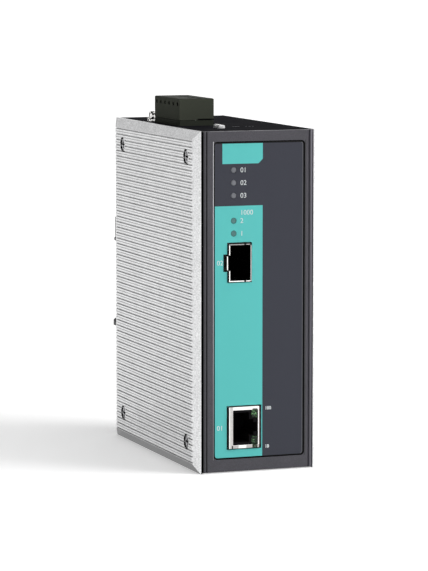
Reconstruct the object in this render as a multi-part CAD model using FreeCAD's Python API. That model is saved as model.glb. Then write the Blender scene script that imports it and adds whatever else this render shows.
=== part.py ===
"""Industrial fibre media converter: a narrow steel case between two grooved aluminium side panels.

Millimetres. +X is to the right seen from the front, +Y to the rear and +Z up. The origin is the middle
of the case's flat bottom. Each sub-part is one STEP file in parts/, named as its node.
"""

import FreeCAD, Part
import math
import os

V = FreeCAD.Vector
X, Y, Z = V(1, 0, 0), V(0, 1, 0), V(0, 0, 1)

# ---- Case ----
body_height = 135.0
body_depth = 105.0
core_width = 46.6            # between the two side panels
sheet = 1.2                  # folded steel
fold_radius = 2.0            # outside radius of a fold
flange_height = 17.0         # side flange that takes the panel screws
rear_corner_cut = 3.5        # cut off the top and bottom sheets at the rear corners
seat_gap = 0.15              # between parts that slide together once, at assembly
cut_over = 1.0               # how far a cutting solid runs past the face that it cuts
touch = 0.01                 # nearer than this counts as on the same face

# ---- Side panels ----
panel_thickness = 2.8
panel_land = 0.7             # square edge left by the chamfers
panel_chamfer_depth = 5.1    # along the depth, at the front and the rear
panel_chamfer_height = 3.7   # along the height, at the top and the bottom
groove_pitch = 2.304
groove_width = 0.6
groove_depth = 0.5
groove_draft = 0.1           # each groove's floor is narrower by this on each side
rib_notch_width = 0.4        # shallow line along the middle of each rib
rib_notch_depth = 0.15
groove_margin = 0.35         # plain strip kept at the top and the bottom of the flat
panel_screw_inset = 11.5     # from the panel's front and bottom edges
panel_screw_rear_inset = 14.4
panel_screw_top_inset = 10.5
panel_screw_sunk = 0.5       # of each head below the panel's face

# ---- Screws ----
m3_radius = 1.45
m3_head_radius = 2.8
m3_hole_radius = 1.5
panel_screw_length = 5.4
board_screw_length = 7.0
board_screw_head_radius = 2.7
board_screw_head_height = 1.9
din_screw_length = 5.0
screw_tip = 0.35             # bevel at a screw's end
head_edge = 0.2              # square edge of a countersunk head
countersink_gap = 0.2
cross_width = 0.7
cross_depth = 1.0
cross_share = 0.6            # of the head's radius
dome_steps = 4               # flats round the shoulder of a pan head

# ---- Front cover and label ----
cover_wall = 2.4
cover_side_gap = 0.12        # narrow line between the cover and a side panel
cover_top_gap = 0.2
cover_bottom_gap = 0.6
cover_edge_radius = 0.9
cover_groove_inset = 1.43    # from the cover's side edge to its upright groove
cover_groove_width = 0.7
cover_groove_depth = 0.55
cover_groove_wall = 0.1      # width that the groove's steep outer wall takes up
cover_lip = 6.0              # how far the inner lip reaches into the case
cover_lip_wall = 1.5
label_left_margin = 4.75     # from the sides of the core, and from the case's bottom and top
label_right_margin = 3.65
label_low_margin = 5.4
label_high_margin = 4.2
label_recess = 0.7
label_radius = 1.5
label_film = 0.35
label_gap = 0.35             # dark line round the film

# ---- Circuit boards ----
board_thickness = 1.6
board_face_inset = 11.1      # from the left panel to the face that carries the ports
board_front_inset = 5.5
board_rear_inset = 6.5
board_low_inset = 6.0
board_high_inset = 16.0
top_board_width = 24.0
top_board_margin = 1.0       # left of the terminal
top_board_end_margin = 2.2   # in front of the switch and behind the terminal
standoff_radius = 3.0
standoff_inset_front = 9.0
standoff_inset_rear = 6.0
standoff_inset_low = 30.0
standoff_inset_high = 14.0
standoff_spigot = 1.5        # pressed into the side panel
standoff_hole = 6.5
board_corner = 2.0
link_depth = 2.5             # pin strip between the two boards
link_ahead = 3.5             # in front of the terminal
link_ways = 12
link_pitch = 2.54
link_notch = 0.4

# ---- RJ45 jack, turned on its side ----
jack_height = 13.3           # off the board
jack_width = 16.5
jack_depth = 21.2
jack_centre_z = 17.8
jack_sheet = 0.3
jack_rim_low = 1.65          # shield's front frame, board side
jack_rim_high = 1.15         # the same, latch side
jack_rim_side = 1.3
plug_way_width = 11.9
plug_way_height = 6.9
plug_way_depth = 14.0
latch_way_width = 6.4
latch_way_height = 1.8
latch_key_width = 3.8
latch_key_height = 1.35
contact_count = 8
contact_pitch = 1.02
contact_size = 0.45
pipe_height = 2.7
pipe_width = 3.3
pipe_length = 16.0
pipe_bevel = 0.25
insert_depth = 19.6
insert_gap = 0.05
contact_lift = 0.02          # off the floor of the plug's way
contact_set_back = 2.6       # behind the insert's front
contact_nose = 0.5
contact_rise = 4.2
contact_run = 9.4

# ---- Slot for the optical module, turned on its side ----
cage_height = 9.3            # off the board
cage_width = 14.8
cage_depth = 48.7
cage_below_top = 51.85       # middle of the slot, from the case's top
cage_sheet = 0.35
cage_tongue_width = 5.4
cage_tongue_length = 5.0
cage_tongue_kick = 0.9
cage_tongue_slot = 0.4
vent_radius = 1.1
vent_rows, vent_columns = 3, 5
vent_row_pitch, vent_column_pitch = 4.0, 6.0
vent_set_back = 14.0
host_socket_depth = 10.0
host_socket_width = 12.0
host_socket_height = 5.4
card_slot_height = 1.4
card_slot_width = 9.4
card_slot_wall = 2.5         # behind the slot
host_socket_rear_gap = 3.0
host_socket_bevel = 0.8
port_proud = 0.3             # both ports stand out of the cover's face by this
port_gap = 0.45              # cut-out round each port

# ---- Status light pipes ----
lens_radius = 1.15
lens_collar_radius = 1.7
lens_collar = 1.0
lens_gap = 0.05
lens_height = 2.1            # axis above the board's face
lens_tail = 3.0              # behind the collar
lens_bevel = 0.2
lamp_size = 2.4
lamp_corner = 0.6
lamp_length = 1.8
power_lens_below_top = 15.4  # the first of three
port_lens_above_cage = 11.55  # the lower of two, from the middle of the slot
lens_pitch = 5.0

# ---- Six-way screw terminal ----
ways = 6
way_pitch = 5.08
block_width = 14.6
block_side_inset = 3.3       # from the left panel
block_front_inset = 36.06    # from the front
header_above_case = 2.1
header_wall = 1.1
header_floor = 3.2
header_gap = 0.15            # header in the case's cut-out, and plug on the header
plug_neck_gap = 0.25
plug_neck_length = 9.0
plug_above_header = 8.6
plug_edge = 0.3              # bevel round the plug's top
pin_size = 1.0
pin_above_floor = 6.4
pin_tail = 0.7
way_width = 4.0
way_wall = 0.4               # between a screw's head and its way
way_roof = 0.7
wire_hole_length = 2.6
wire_hole_width = 3.0
screw_axis_below_top = 2.2
clamp_head_radius = 1.6
clamp_head_height = 1.5
clamp_head_sunk = 0.6
clamp_shank_radius = 1.0
screw_hole_radius = 0.8      # for the screwdriver; narrower than the head, so the screw stays in
clamp_running_gap = 0.08
clamp_slot = 0.45
clamp_wall = 0.7
clamp_height = 2.8
clamp_opening = 4.4          # inside the clamp, across the wire
clamp_travel = 2.0
clamp_front_gap = 0.8        # left in front of the clamp when it is fully drawn up
clamp_rear_gap = 0.4
clamp_side_gap = 0.2
clamp_top_gap = 0.1
clamp_screw_gap = 0.2        # between the screw's end and the bar
clamp_slot_depth = 0.6
bar_thickness = 0.8
bar_width = 2.0
fork_thickness = 0.5
fork_gap = 0.15              # between a fork's tine and its pin
fork_lift = 0.4              # of the tines above the neck's end, and of the bridge above the pin
pin_hole_gap = 0.05
pin_bevel = 0.25
pin_board_hole = 0.78        # radius of a pin's hole in the board

# ---- Switch on the top ----
dip_width = 2.5
dip_length = 6.4
dip_height = 4.6
dip_proud = 1.2
dip_side_inset = 14.2        # from the left panel to the middle of the switch
dip_front_gap = 13.16        # from the switch to the terminal's front
dip_levers = 3
dip_pitch = 2.0
dip_window_length = 1.9      # slot that a lever slides in
dip_window_width = 1.1
dip_window_depth = 1.2
dip_knob_proud = 0.25
dip_travel = 0.9
dip_gap = 0.1
dip_bevel = 0.2
dip_knob_round = 0.15
dip_stand_wall = 0.8

# ---- Earthing screw ----
ground_side_inset = 7.0
ground_behind_block = 7.5
ground_head_radius = 3.6
ground_head_height = 2.6
ground_shank_radius = 1.95
ground_hole_radius = 2.0
ground_shank = 9.0
washer_bore = 2.1
washer_radius = 4.3
washer_split = 0.6
washer_thickness = 0.8
spring_washer_radius = 3.4
spring_washer_thickness = 1.0

# ---- Rail clip ----
rail_width = 35.0            # the rail's two edges
rail_centre_z = 65.1
din_plate_margin = 0.2       # from each side panel
din_plate_thickness = 1.5
din_plate_bottom = 42.0
hook_width = 9.0
hook_upper_inset = 0.85      # from the plate's side
hook_reach = 4.6             # clear room between the plate and a hook
hook_lower_lip = 2.0
hook_upper_height = 8.3      # from the rail's top edge to the hook's underside
hook_overlap = 1.0           # how far the upper hook reaches down past the rail's edge
hook_flare = 1.4             # outward foot at the end of an upper hook
hook_foot_rise = 1.2
hook_tip = 1.0               # the same on a lower hook
hook_tip_rise = 0.8
hook_corner = 1.4            # cut off both corners of a hook's free end
plate_corner = 2.0
din_screw_z = (48.0, 86.0)
din_screw_x = 9.0
spring_wire = 0.8            # radius
spring_travel = 1.6
spring_top_gap = 0.9         # left between the pressed spring and the hooks
spring_plate_gap = 0.3
spring_bend = 2.0
spring_overhang = 1.0        # of the straight ends past the plate's sides
spring_middle = 8.0          # half the length of the raised middle
wall_hole_spacing_x = 30.0
wall_hole_inset = 9.5        # from the top and the bottom
wall_hole_radius = 1.5

# ---- Inner components ----
transformer_size = (17.0, 22.0, 20.0)
transformer_inset = (18.0, 31.0)       # from the board's rear and top edges, as are the others
winding_radius = 7.2
winding_sunk = 1.0           # below the core's face
bobbin_foot = 1.5
bobbin_margin = 1.0
core_leg = 3.4
capacitor_radius = 5.0
capacitor_length = 16.0
capacitor_neck = 1.8         # from the board to the rolled bead
capacitor_bead = 0.5
capacitor_gap = 2.0          # behind the relay, and between the two
choke_radius = 6.5
choke_height = 7.5
choke_waist = 4.7
choke_flange = 1.3
choke_inset = (14.0, 53.0)
relay_size = (12.5, 20.0, 10.0)
relay_bevel = 0.6
relay_inset = (23.0, 13.0)             # from the board's front and top edges
chip_side = 14.0
chip_thickness = 1.6
chip_lift = 0.1
chip_leads = 10              # on each side
chip_lead = 0.4
chip_lead_pitch = 1.2
chip_lead_reach = 1.0
chip_lead_top = 0.5
chip_inset = (34.0, 61.0)
sink_height = 9.0
sink_fins = 6
sink_base = 1.6
sink_fin = 0.9
magnetics_size = (5.5, 13.0, 15.0)
magnetics_bevel = 0.5
magnetics_gap = 3.0          # behind the RJ45 jack
crystal_size = (3.4, 4.6, 11.4)
crystal_bevel = 0.8
crystal_gap = 3.0            # in front of the chip
crystal_drop = 8.0           # below the chip's middle

# ---- Worked out from the sizes above ----
front_y = -body_depth / 2
rear_y = body_depth / 2
core_x = core_width / 2
case_x = core_x - seat_gap
cover_back_y = front_y + cover_wall
label_floor_y = front_y + label_recess
film_front_y = label_floor_y - label_film
port_front_y = front_y - port_proud
label_x0, label_x1 = -core_x + label_left_margin, core_x - label_right_margin
label_z0, label_z1 = label_low_margin, body_height - label_high_margin
board_face_x = -core_x + board_face_inset
board_back_x = board_face_x - board_thickness
board_front_y = front_y + board_front_inset
board_rear_y = rear_y - board_rear_inset
board_bottom_z = board_low_inset
board_top_z = body_height - board_high_inset
power_lens_z = [body_height - power_lens_below_top - i * lens_pitch for i in range(3)]
cage_centre_z = body_height - cage_below_top
port_lens_z = [cage_centre_z + port_lens_above_cage + (1 - i) * lens_pitch for i in range(2)]
jack_low_z = jack_centre_z - jack_width / 2
cage_low_z = cage_centre_z - cage_width / 2
block_length = ways * way_pitch
block_front_y = front_y + block_front_inset
block_rear_y = block_front_y + block_length
block_centre_y = (block_front_y + block_rear_y) / 2
block_left_x = -core_x + block_side_inset
block_centre_x = block_left_x + block_width / 2
header_top_z = body_height + header_above_case
plug_bottom_z = header_top_z + header_gap
plug_top_z = plug_bottom_z + plug_above_header
neck_width = block_width - 2 * (header_wall + plug_neck_gap)
neck_length = block_length - 2 * (header_wall + plug_neck_gap)
neck_bottom_z = plug_bottom_z - plug_neck_length
header_floor_z = neck_bottom_z - plug_neck_gap
top_board_z = header_floor_z - header_floor
top_board_low_z = top_board_z - board_thickness
top_board_x0 = block_left_x - top_board_margin
top_board_y1 = block_rear_y + top_board_end_margin
dip_top_z = body_height + dip_proud
dip_centre_x = -core_x + dip_side_inset
dip_centre_y = block_front_y - dip_front_gap - dip_length / 2
link_front_y = block_front_y - link_ahead
top_board_y0 = dip_centre_y - dip_length / 2 - top_board_end_margin
ground_x = -core_x + ground_side_inset
ground_y = block_rear_y + ground_behind_block
clamp_axis_z = plug_top_z - screw_axis_below_top
way_top_z = plug_top_z - way_roof
head_front_x = block_left_x + clamp_head_sunk
head_back_x = head_front_x + clamp_head_height
way_x0 = head_back_x + way_wall
bar_x0 = block_centre_x - bar_thickness / 2
bar_x1 = bar_x0 + bar_thickness
clamp_x0 = way_x0 + clamp_front_gap + clamp_travel
clamp_x1 = clamp_x0 + clamp_opening + 2 * clamp_wall
way_x1 = clamp_x1 + clamp_rear_gap
clamp_top_z = way_top_z - clamp_top_gap
fork_low_z = neck_bottom_z + fork_lift
bridge_z = header_floor_z + pin_above_floor + fork_lift
plate_back_y = rear_y + din_plate_thickness
hook_lip_y = plate_back_y + hook_reach
din_plate_half = core_x - din_plate_margin
rail_low_z = rail_centre_z - rail_width / 2
rail_top_z = rail_centre_z + rail_width / 2
hook_top_z = rail_top_z + hook_upper_height
din_plate_top = hook_top_z + din_plate_thickness


def way_y(index):
    """Middle of one way of the terminal, counted from the front."""
    return block_front_y + (index + 0.5) * way_pitch


def box(x0, x1, y0, y1, z0, z1):
    """Block between two corners."""
    return Part.makeBox(x1 - x0, y1 - y0, z1 - z0, V(x0, y0, z0))


def rod(centre, axis, radius, length):
    """Round rod from a point, along an axis."""
    return Part.makeCylinder(radius, length, centre, axis)


def prism(points, along):
    """Closed outline of points, pushed along a vector."""
    return Part.Face(Part.makePolygon([V(*p) for p in points] + [V(*points[0])])).extrude(along)


def rounded_plate(x0, x1, z0, z1, y0, y1, radius):
    """Upright plate with rounded corners, its flat faces square to Y."""
    plate = box(x0, x1, y0, y1, z0, z1)
    corners = [e for e in plate.Edges if abs(e.tangentAt(e.FirstParameter).y) > 0.99]
    return plate.makeFillet(radius, corners)


def turned(profile, base, axis):
    """Solid of revolution: (radius, height) points, turned round an axis at base."""
    points = [V(r, 0, h) for r, h in profile]
    face = Part.Face(Part.makePolygon(points + [points[0]]))
    solid = face.revolve(V(0, 0, 0), Z, 360)
    solid.Placement = FreeCAD.Placement(base, FreeCAD.Rotation(Z, axis))
    return solid


def bent_strip(path, thickness, x0, x1):
    """Sheet bent along (y, z) points, thickness to the left of the path, from x0 to x1."""
    offset = []
    for i, (y, z) in enumerate(path):
        before = path[max(i - 1, 0)]
        after = path[min(i + 1, len(path) - 1)]
        turns = []
        for a, b in ((before, (y, z)), ((y, z), after)):
            length = math.hypot(b[0] - a[0], b[1] - a[1])
            if length:
                turns.append((-(b[1] - a[1]) / length, (b[0] - a[0]) / length))
        ny = sum(t[0] for t in turns) / len(turns)
        nz = sum(t[1] for t in turns) / len(turns)
        scale = thickness / (ny * ny + nz * nz)
        offset.append((y + ny * scale, z + nz * scale))
    outline = [(x0, y, z) for y, z in list(path) + offset[::-1]]
    return prism(outline, V(x1 - x0, 0, 0))


def countersunk_screw(head_face, axis, length):
    """Flat-head cross-recess screw: the centre of its head's face, and the way that it points."""
    head = m3_head_radius - m3_radius
    profile = [(0, 0), (m3_head_radius, 0), (m3_head_radius, head_edge), (m3_radius, head_edge + head),
               (m3_radius, length - screw_tip), (m3_radius - screw_tip, length), (0, length)]
    screw = turned(profile, V(0, 0, 0), Z)
    arm = m3_head_radius * cross_share
    screw = screw.cut(box(-arm, arm, -cross_width / 2, cross_width / 2, 0, cross_depth))
    screw = screw.cut(box(-cross_width / 2, cross_width / 2, -arm, arm, 0, cross_depth))
    screw.Placement = FreeCAD.Placement(head_face, FreeCAD.Rotation(Z, axis))
    return screw


def countersink(seat_face, axis, depth, sunk=0):
    """Hole for a countersunk screw: a bore as deep as its head is sunk, a cone and a clearance hole."""
    wide = m3_head_radius + countersink_gap
    cone = wide - m3_hole_radius
    low = sunk + head_edge
    profile = [(0, -cut_over), (wide, -cut_over), (wide, low), (m3_hole_radius, low + cone),
               (m3_hole_radius, depth), (0, depth)]
    return turned(profile, seat_face, axis)


def pan_screw(seat, axis, head_radius, head_height, shank_radius, length):
    """Domed cross-recess screw: the centre of its seat; axis points from the seat to the head."""
    side = head_height / 2
    profile = [(0, -length), (shank_radius - screw_tip, -length), (shank_radius, -length + screw_tip),
               (shank_radius, 0), (head_radius, 0), (head_radius, side)]
    for turn in range(1, dome_steps + 1):
        angle = math.pi / 2 * turn / dome_steps
        profile.append((head_radius * (1 + math.cos(angle)) / 2,
                        side + (head_height - side) * math.sin(angle)))
    profile.append((0, head_height))
    screw = turned(profile, V(0, 0, 0), Z)
    arm = head_radius * cross_share
    low = head_height - cross_depth
    screw = screw.cut(box(-arm, arm, -cross_width / 2, cross_width / 2, low, head_height))
    screw = screw.cut(box(-cross_width / 2, cross_width / 2, -arm, arm, low, head_height))
    screw.Placement = FreeCAD.Placement(seat, FreeCAD.Rotation(Z, axis))
    return screw


def panel_screw_places():
    """(y, z) of a side panel's four screws."""
    ys = (front_y + panel_screw_inset, rear_y - panel_screw_rear_inset)
    zs = (panel_screw_inset, body_height - panel_screw_top_inset)
    return [(y, z) for y in ys for z in zs]


def standoff_places():
    """(y, z) of the four posts that carry the main board."""
    ys = (board_front_y + standoff_inset_front, board_rear_y - standoff_inset_rear)
    zs = (board_bottom_z + standoff_inset_low, board_top_z - standoff_inset_high)
    return [(y, z) for y in ys for z in zs]


def wall_hole_places():
    """(x, z) of the threaded holes in the rear for a wall bracket."""
    return [(side * wall_hole_spacing_x / 2, z)
            for side in (-1, 1) for z in (wall_hole_inset, body_height - wall_hole_inset)]


def din_screw_places():
    """(x, z) of the screws that hold the rail clip."""
    return [(-din_screw_x, din_screw_z[1]), (din_screw_x, din_screw_z[1]), (0, din_screw_z[0])]


# ---- Case ----

def chassis():
    """Folded sheet: bottom, rear and top in one, with side flanges along the top and the bottom."""
    start = cover_back_y + seat_gap
    outer = box(-case_x, case_x, start, rear_y, 0, body_height)
    folds = [e for e in outer.Edges if abs(e.tangentAt(e.FirstParameter).x) > 0.99
             and e.CenterOfMass.y > 0]
    outer = outer.makeFillet(fold_radius, folds)
    inner = box(-case_x + sheet, case_x - sheet, start - 1, rear_y - sheet,
                sheet, body_height - sheet)
    folds = [e for e in inner.Edges if abs(e.tangentAt(e.FirstParameter).x) > 0.99
             and e.CenterOfMass.y > 0]
    inner = inner.makeFillet(fold_radius - sheet, folds)
    case = outer.cut(inner)
    case = case.cut(box(-core_x, core_x, start - 1, rear_y - sheet, flange_height,
                        body_height - flange_height))
    for side in (-1, 1):
        corner = [(side * (case_x + 1), rear_y + 1, -1), (side * (case_x - rear_corner_cut), rear_y + 1, -1),
                  (side * (case_x + 1), rear_y - rear_corner_cut, -1)]
        case = case.cut(prism(corner, V(0, 0, body_height + 2)))
    case = case.cut(box(block_left_x - header_gap, block_left_x + block_width + header_gap,
                        block_front_y - header_gap, block_rear_y + header_gap,
                        body_height - sheet - 1, body_height + 1))
    case = case.cut(box(dip_centre_x - dip_width / 2 - header_gap, dip_centre_x + dip_width / 2 + header_gap,
                        dip_centre_y - dip_length / 2 - header_gap,
                        dip_centre_y + dip_length / 2 + header_gap, body_height - sheet - cut_over,
                        body_height + cut_over))
    case = case.cut(rod(V(ground_x, ground_y, body_height - sheet - cut_over), Z, ground_hole_radius,
                        sheet + 2 * cut_over))
    for y, z in panel_screw_places():
        case = case.cut(rod(V(-core_x, y, z), X, m3_hole_radius, core_width))
    for x, z in wall_hole_places():
        case = case.cut(rod(V(x, rear_y + 1, z), -Y, wall_hole_radius, sheet + 2))
    for x, z in din_screw_places():
        case = case.cut(rod(V(x, rear_y + 1, z), -Y, m3_hole_radius, sheet + 2))
    return case


def panel_profile():
    """Extruded section of a side panel in (x, z): flat inside, grooved, notched and chamfered outside."""
    flat = body_height - 2 * panel_chamfer_height
    gaps = int((flat - 2 * groove_margin) / groove_pitch)
    first = body_height / 2 - gaps * groove_pitch / 2
    points = [(0, 0), (panel_land, 0), (panel_thickness, panel_chamfer_height)]
    floor = panel_thickness - groove_depth
    for i in range(gaps + 1):
        z = first + i * groove_pitch
        half = groove_width / 2
        points += [(panel_thickness, z - half), (floor, z - half + groove_draft),
                   (floor, z + half - groove_draft), (panel_thickness, z + half)]
        if i < gaps:
            middle = z + groove_pitch / 2
            points += [(panel_thickness, middle - rib_notch_width / 2),
                       (panel_thickness - rib_notch_depth, middle),
                       (panel_thickness, middle + rib_notch_width / 2)]
    points += [(panel_thickness, body_height - panel_chamfer_height), (panel_land, body_height),
               (0, body_height)]
    return points


def side_panel(side):
    """Aluminium panel: the extrusion, cut to length with sloping front and rear edges."""
    bar = prism([(x, front_y, z) for x, z in panel_profile()], V(0, body_depth, 0))
    slope_front, slope_rear = front_y + panel_chamfer_depth, rear_y - panel_chamfer_depth
    plan = [(0, front_y, 0), (panel_land, front_y, 0), (panel_thickness, slope_front, 0),
            (panel_thickness, slope_rear, 0), (panel_land, rear_y, 0), (0, rear_y, 0)]
    panel = bar.common(prism(plan, V(0, 0, body_height)))
    for y, z in panel_screw_places():
        panel = panel.cut(countersink(V(panel_thickness, y, z), -X, panel_thickness + cut_over,
                                      panel_screw_sunk))
    if side < 0:
        panel = panel.mirror(V(0, 0, 0), X)
        for y, z in standoff_places():
            panel = panel.cut(rod(V(0, y, z), -X, m3_radius, standoff_spigot))
    panel.translate(V(side * core_x, 0, 0))
    return panel


def panel_screws(side):
    """Four screws through a side panel into the case's flanges."""
    face = side * (core_x + panel_thickness - panel_screw_sunk)
    return [countersunk_screw(V(face, y, z), V(-side, 0, 0), panel_screw_length)
            for y, z in panel_screw_places()]


# ---- Front ----

def jack_cutout(gap, y0, y1):
    """Room for the RJ45 jack in the cover or the label."""
    return box(board_face_x - gap, board_face_x + jack_height + gap, y0, y1,
               jack_low_z - gap, jack_low_z + jack_width + gap)


def cage_cutout(gap, y0, y1):
    """Room for the module's cage and for its latch tongue."""
    room = box(board_face_x - gap, board_face_x + cage_height + gap, y0, y1,
               cage_low_z - gap, cage_low_z + cage_width + gap)
    half = cage_tongue_width / 2 + gap
    kick = board_face_x - cage_tongue_kick - 2 * gap
    return room.fuse(box(kick, board_face_x, y0, y1, cage_centre_z - half, cage_centre_z + half))


def lens_x():
    """Axis of the light pipes across the front."""
    return board_face_x + lens_height


def front_cover():
    """Grey front: rounded sides, a sloping groove by each edge, a label recess and an inner lip."""
    half = core_x - cover_side_gap
    low, high = cover_bottom_gap, body_height - cover_top_gap
    cover = box(-half, half, front_y, cover_back_y, low, high)
    edges = [e for e in cover.Edges if abs(e.tangentAt(e.FirstParameter).z) > 0.99
             and e.CenterOfMass.y < front_y + touch]
    cover = cover.makeFillet(cover_edge_radius, edges)
    outer = half - cover_groove_inset
    inner, floor = outer - cover_groove_width, outer - cover_groove_wall
    section = [(inner, front_y - cut_over), (inner, front_y), (floor, front_y + cover_groove_depth),
               (outer, front_y), (outer, front_y - cut_over)]
    for side in (-1, 1):
        groove = prism([(side * x, y, low - cut_over) for x, y in section],
                       V(0, 0, body_height + cut_over))
        cover = cover.cut(groove)
    cover = cover.cut(label_outline(0, front_y - 1, label_floor_y))
    lip_x = case_x - sheet - seat_gap
    lip_low, lip_high = sheet + seat_gap, body_height - sheet - seat_gap
    lip = box(-lip_x, lip_x, cover_back_y, cover_back_y + cover_lip, lip_low, lip_high)
    lip = lip.cut(box(-lip_x + cover_lip_wall, lip_x - cover_lip_wall, cover_back_y,
                      cover_back_y + cover_lip, lip_low + cover_lip_wall, lip_high - cover_lip_wall))
    cover = cover.fuse(lip).removeSplitter()
    cover = cover.cut(jack_cutout(port_gap, front_y - 1, cover_back_y + 1))
    cover = cover.cut(cage_cutout(port_gap, front_y - 1, cover_back_y + 1))
    for z in power_lens_z + port_lens_z:
        cover = cover.cut(rod(V(lens_x(), front_y - 1, z), Y, lens_radius + lens_gap, cover_wall + 2))
    return cover


def label_outline(gap, y0, y1):
    """Rounded plate of the label's outline, smaller all round by gap."""
    return rounded_plate(label_x0 + gap, label_x1 - gap, label_z0 + gap, label_z1 - gap, y0, y1,
                         label_radius - gap / 2)


def front_overlay():
    """Printed film that lies in the cover's recess."""
    film = label_outline(label_gap, film_front_y, label_floor_y)
    film = film.cut(jack_cutout(port_gap, film_front_y - 1, label_floor_y + 1))
    film = film.cut(cage_cutout(port_gap, film_front_y - 1, label_floor_y + 1))
    for z in power_lens_z + port_lens_z:
        film = film.cut(rod(V(lens_x(), film_front_y - 1, z), Y, lens_radius + lens_gap,
                            label_film + 2 * cut_over))
    return film


def status_lens(z):
    """Light pipe: a tip flush with the label, a collar behind the cover and a tail to its lamp."""
    front = cover_back_y - film_front_y
    profile = [(0, 0), (lens_radius - lens_bevel, 0), (lens_radius, lens_bevel), (lens_radius, front),
               (lens_collar_radius, front), (lens_collar_radius, front + lens_collar),
               (lens_radius, front + lens_collar), (lens_radius, front + lens_collar + lens_tail),
               (0, front + lens_collar + lens_tail)]
    return turned(profile, V(lens_x(), film_front_y, z), Y)


def status_lamps():
    """Lamps on the main board, each just behind its light pipe."""
    y0 = cover_back_y + lens_collar + lens_tail + lens_gap
    half = lamp_size / 2
    lamps = []
    for z in power_lens_z + port_lens_z:
        lamp = box(board_face_x, board_face_x + lens_height + half, y0, y0 + lamp_length,
                   z - half, z + half)
        edges = [e for e in lamp.Edges if abs(e.tangentAt(e.FirstParameter).y) > 0.99
                 and e.CenterOfMass.x > board_face_x + 0.5]
        lamps.append(lamp.makeFillet(lamp_corner, edges))
    return lamps


# ---- Boards ----

def main_board():
    """Upright circuit board that carries both ports."""
    board = box(board_back_x, board_face_x, board_front_y, board_rear_y, board_bottom_z, board_top_z)
    corners = [e for e in board.Edges if abs(e.tangentAt(e.FirstParameter).x) > 0.99]
    board = board.makeFillet(board_corner, corners)
    for y, z in standoff_places():
        board = board.cut(rod(V(board_back_x - 1, y, z), X, m3_hole_radius, board_thickness + 2))
    return board


def board_standoffs():
    """Four threaded posts between the left side panel and the main board."""
    posts = []
    for y, z in standoff_places():
        post = rod(V(-core_x, y, z), X, standoff_radius, core_x + board_back_x)
        post = post.fuse(rod(V(-core_x - standoff_spigot, y, z), X, m3_radius, standoff_spigot))
        posts.append(post.cut(rod(V(board_back_x, y, z), -X, m3_hole_radius, standoff_hole)))
    return posts


def board_screws():
    """Pan-head screws that hold the main board to its posts."""
    return [pan_screw(V(board_face_x, y, z), X, board_screw_head_radius, board_screw_head_height, m3_radius,
                      board_screw_length)
            for y, z in standoff_places()]


def terminal_board():
    """Small level board under the top sheet, for the terminal and the switch."""
    board = box(top_board_x0, top_board_x0 + top_board_width, top_board_y0, top_board_y1,
                top_board_low_z, top_board_z)
    for i in range(ways):
        board = board.cut(rod(V(block_centre_x, way_y(i), top_board_low_z - 1), Z, pin_board_hole,
                              board_thickness + 2))
    return board


def board_link():
    """Angled pin strip that joins the two boards, electrically and firmly."""
    low, x1 = board_top_z - link_depth, board_face_x + link_depth
    strip = box(board_face_x, x1, link_front_y, link_front_y + link_ways * link_pitch, low, top_board_low_z)
    notches = []
    for i in range(1, link_ways):
        y = link_front_y + i * link_pitch
        notches.append(box(x1 - link_notch, x1, y - link_notch / 2, y + link_notch / 2, low,
                           top_board_low_z))
    return strip.cut(Part.makeCompound(notches))


# ---- RJ45 ----

def rj45_shield():
    """Tinned sheet can, open towards the board, with a framed window at the front."""
    x1 = board_face_x + jack_height
    z0, z1 = jack_low_z, jack_low_z + jack_width
    can = box(board_face_x, x1, port_front_y, port_front_y + jack_depth, z0, z1)
    can = can.cut(box(board_face_x, x1 - jack_sheet, port_front_y + jack_sheet,
                      port_front_y + jack_depth - jack_sheet, z0 + jack_sheet, z1 - jack_sheet))
    return can.cut(box(board_face_x + jack_rim_low, x1 - jack_rim_high, port_front_y - 1,
                       port_front_y + 1, z0 + jack_rim_side, z1 - jack_rim_side))


def jack_way(x0, height, width, depth):
    """One step of the plug's way in, from the front of the insert."""
    front = port_front_y + jack_sheet
    return box(x0, x0 + height, front, front + depth, jack_centre_z - width / 2,
               jack_centre_z + width / 2)


def pipe_place(side, gap):
    """Room of one of the jack's two light pipes, beside the latch's way."""
    x1 = board_face_x + jack_height - jack_rim_high
    front = port_front_y + jack_sheet
    outer = jack_centre_z + side * (jack_width / 2 - jack_rim_side)
    inner = outer - side * pipe_width
    return box(x1 - pipe_height - gap, x1 + gap, front, front + pipe_length + gap,
               min(inner, outer) - gap, max(inner, outer) + gap)


def rj45_insert():
    """Black moulding inside the shield: a stepped way for the plug and its latch."""
    front = port_front_y + jack_sheet
    gap = insert_gap
    body = box(board_face_x + gap, board_face_x + jack_height - jack_sheet - gap, front,
               front + insert_depth, jack_low_z + jack_sheet + gap,
               jack_low_z + jack_width - jack_sheet - gap)
    x0 = board_face_x + jack_rim_low
    body = body.cut(jack_way(x0, plug_way_height, plug_way_width, plug_way_depth))
    x0 += plug_way_height
    body = body.cut(jack_way(x0, latch_way_height, latch_way_width, plug_way_depth))
    x0 += latch_way_height
    body = body.cut(jack_way(x0, latch_key_height, latch_key_width, plug_way_depth))
    for side in (-1, 1):
        body = body.cut(pipe_place(side, gap))
    return body


def rj45_contacts():
    """Eight gilt springs that slope back from the front edge into the plug's way."""
    base = board_face_x + jack_rim_low + contact_lift
    y0 = port_front_y + jack_sheet + contact_set_back
    size = contact_size
    springs = []
    for i in range(contact_count):
        z = jack_centre_z + (i - (contact_count - 1) / 2) * contact_pitch - size / 2
        side = [(base, y0, z), (base + size, y0 - contact_nose, z), (base + size + contact_nose, y0, z),
                (base + contact_rise, y0 + contact_run, z),
                (base + contact_rise - size, y0 + contact_run + size / 2, z),
                (base + size, y0 + 2 * contact_nose, z), (base, y0 + 2 * contact_nose, z)]
        springs.append(prism(side, V(0, 0, size)))
    return springs


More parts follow.
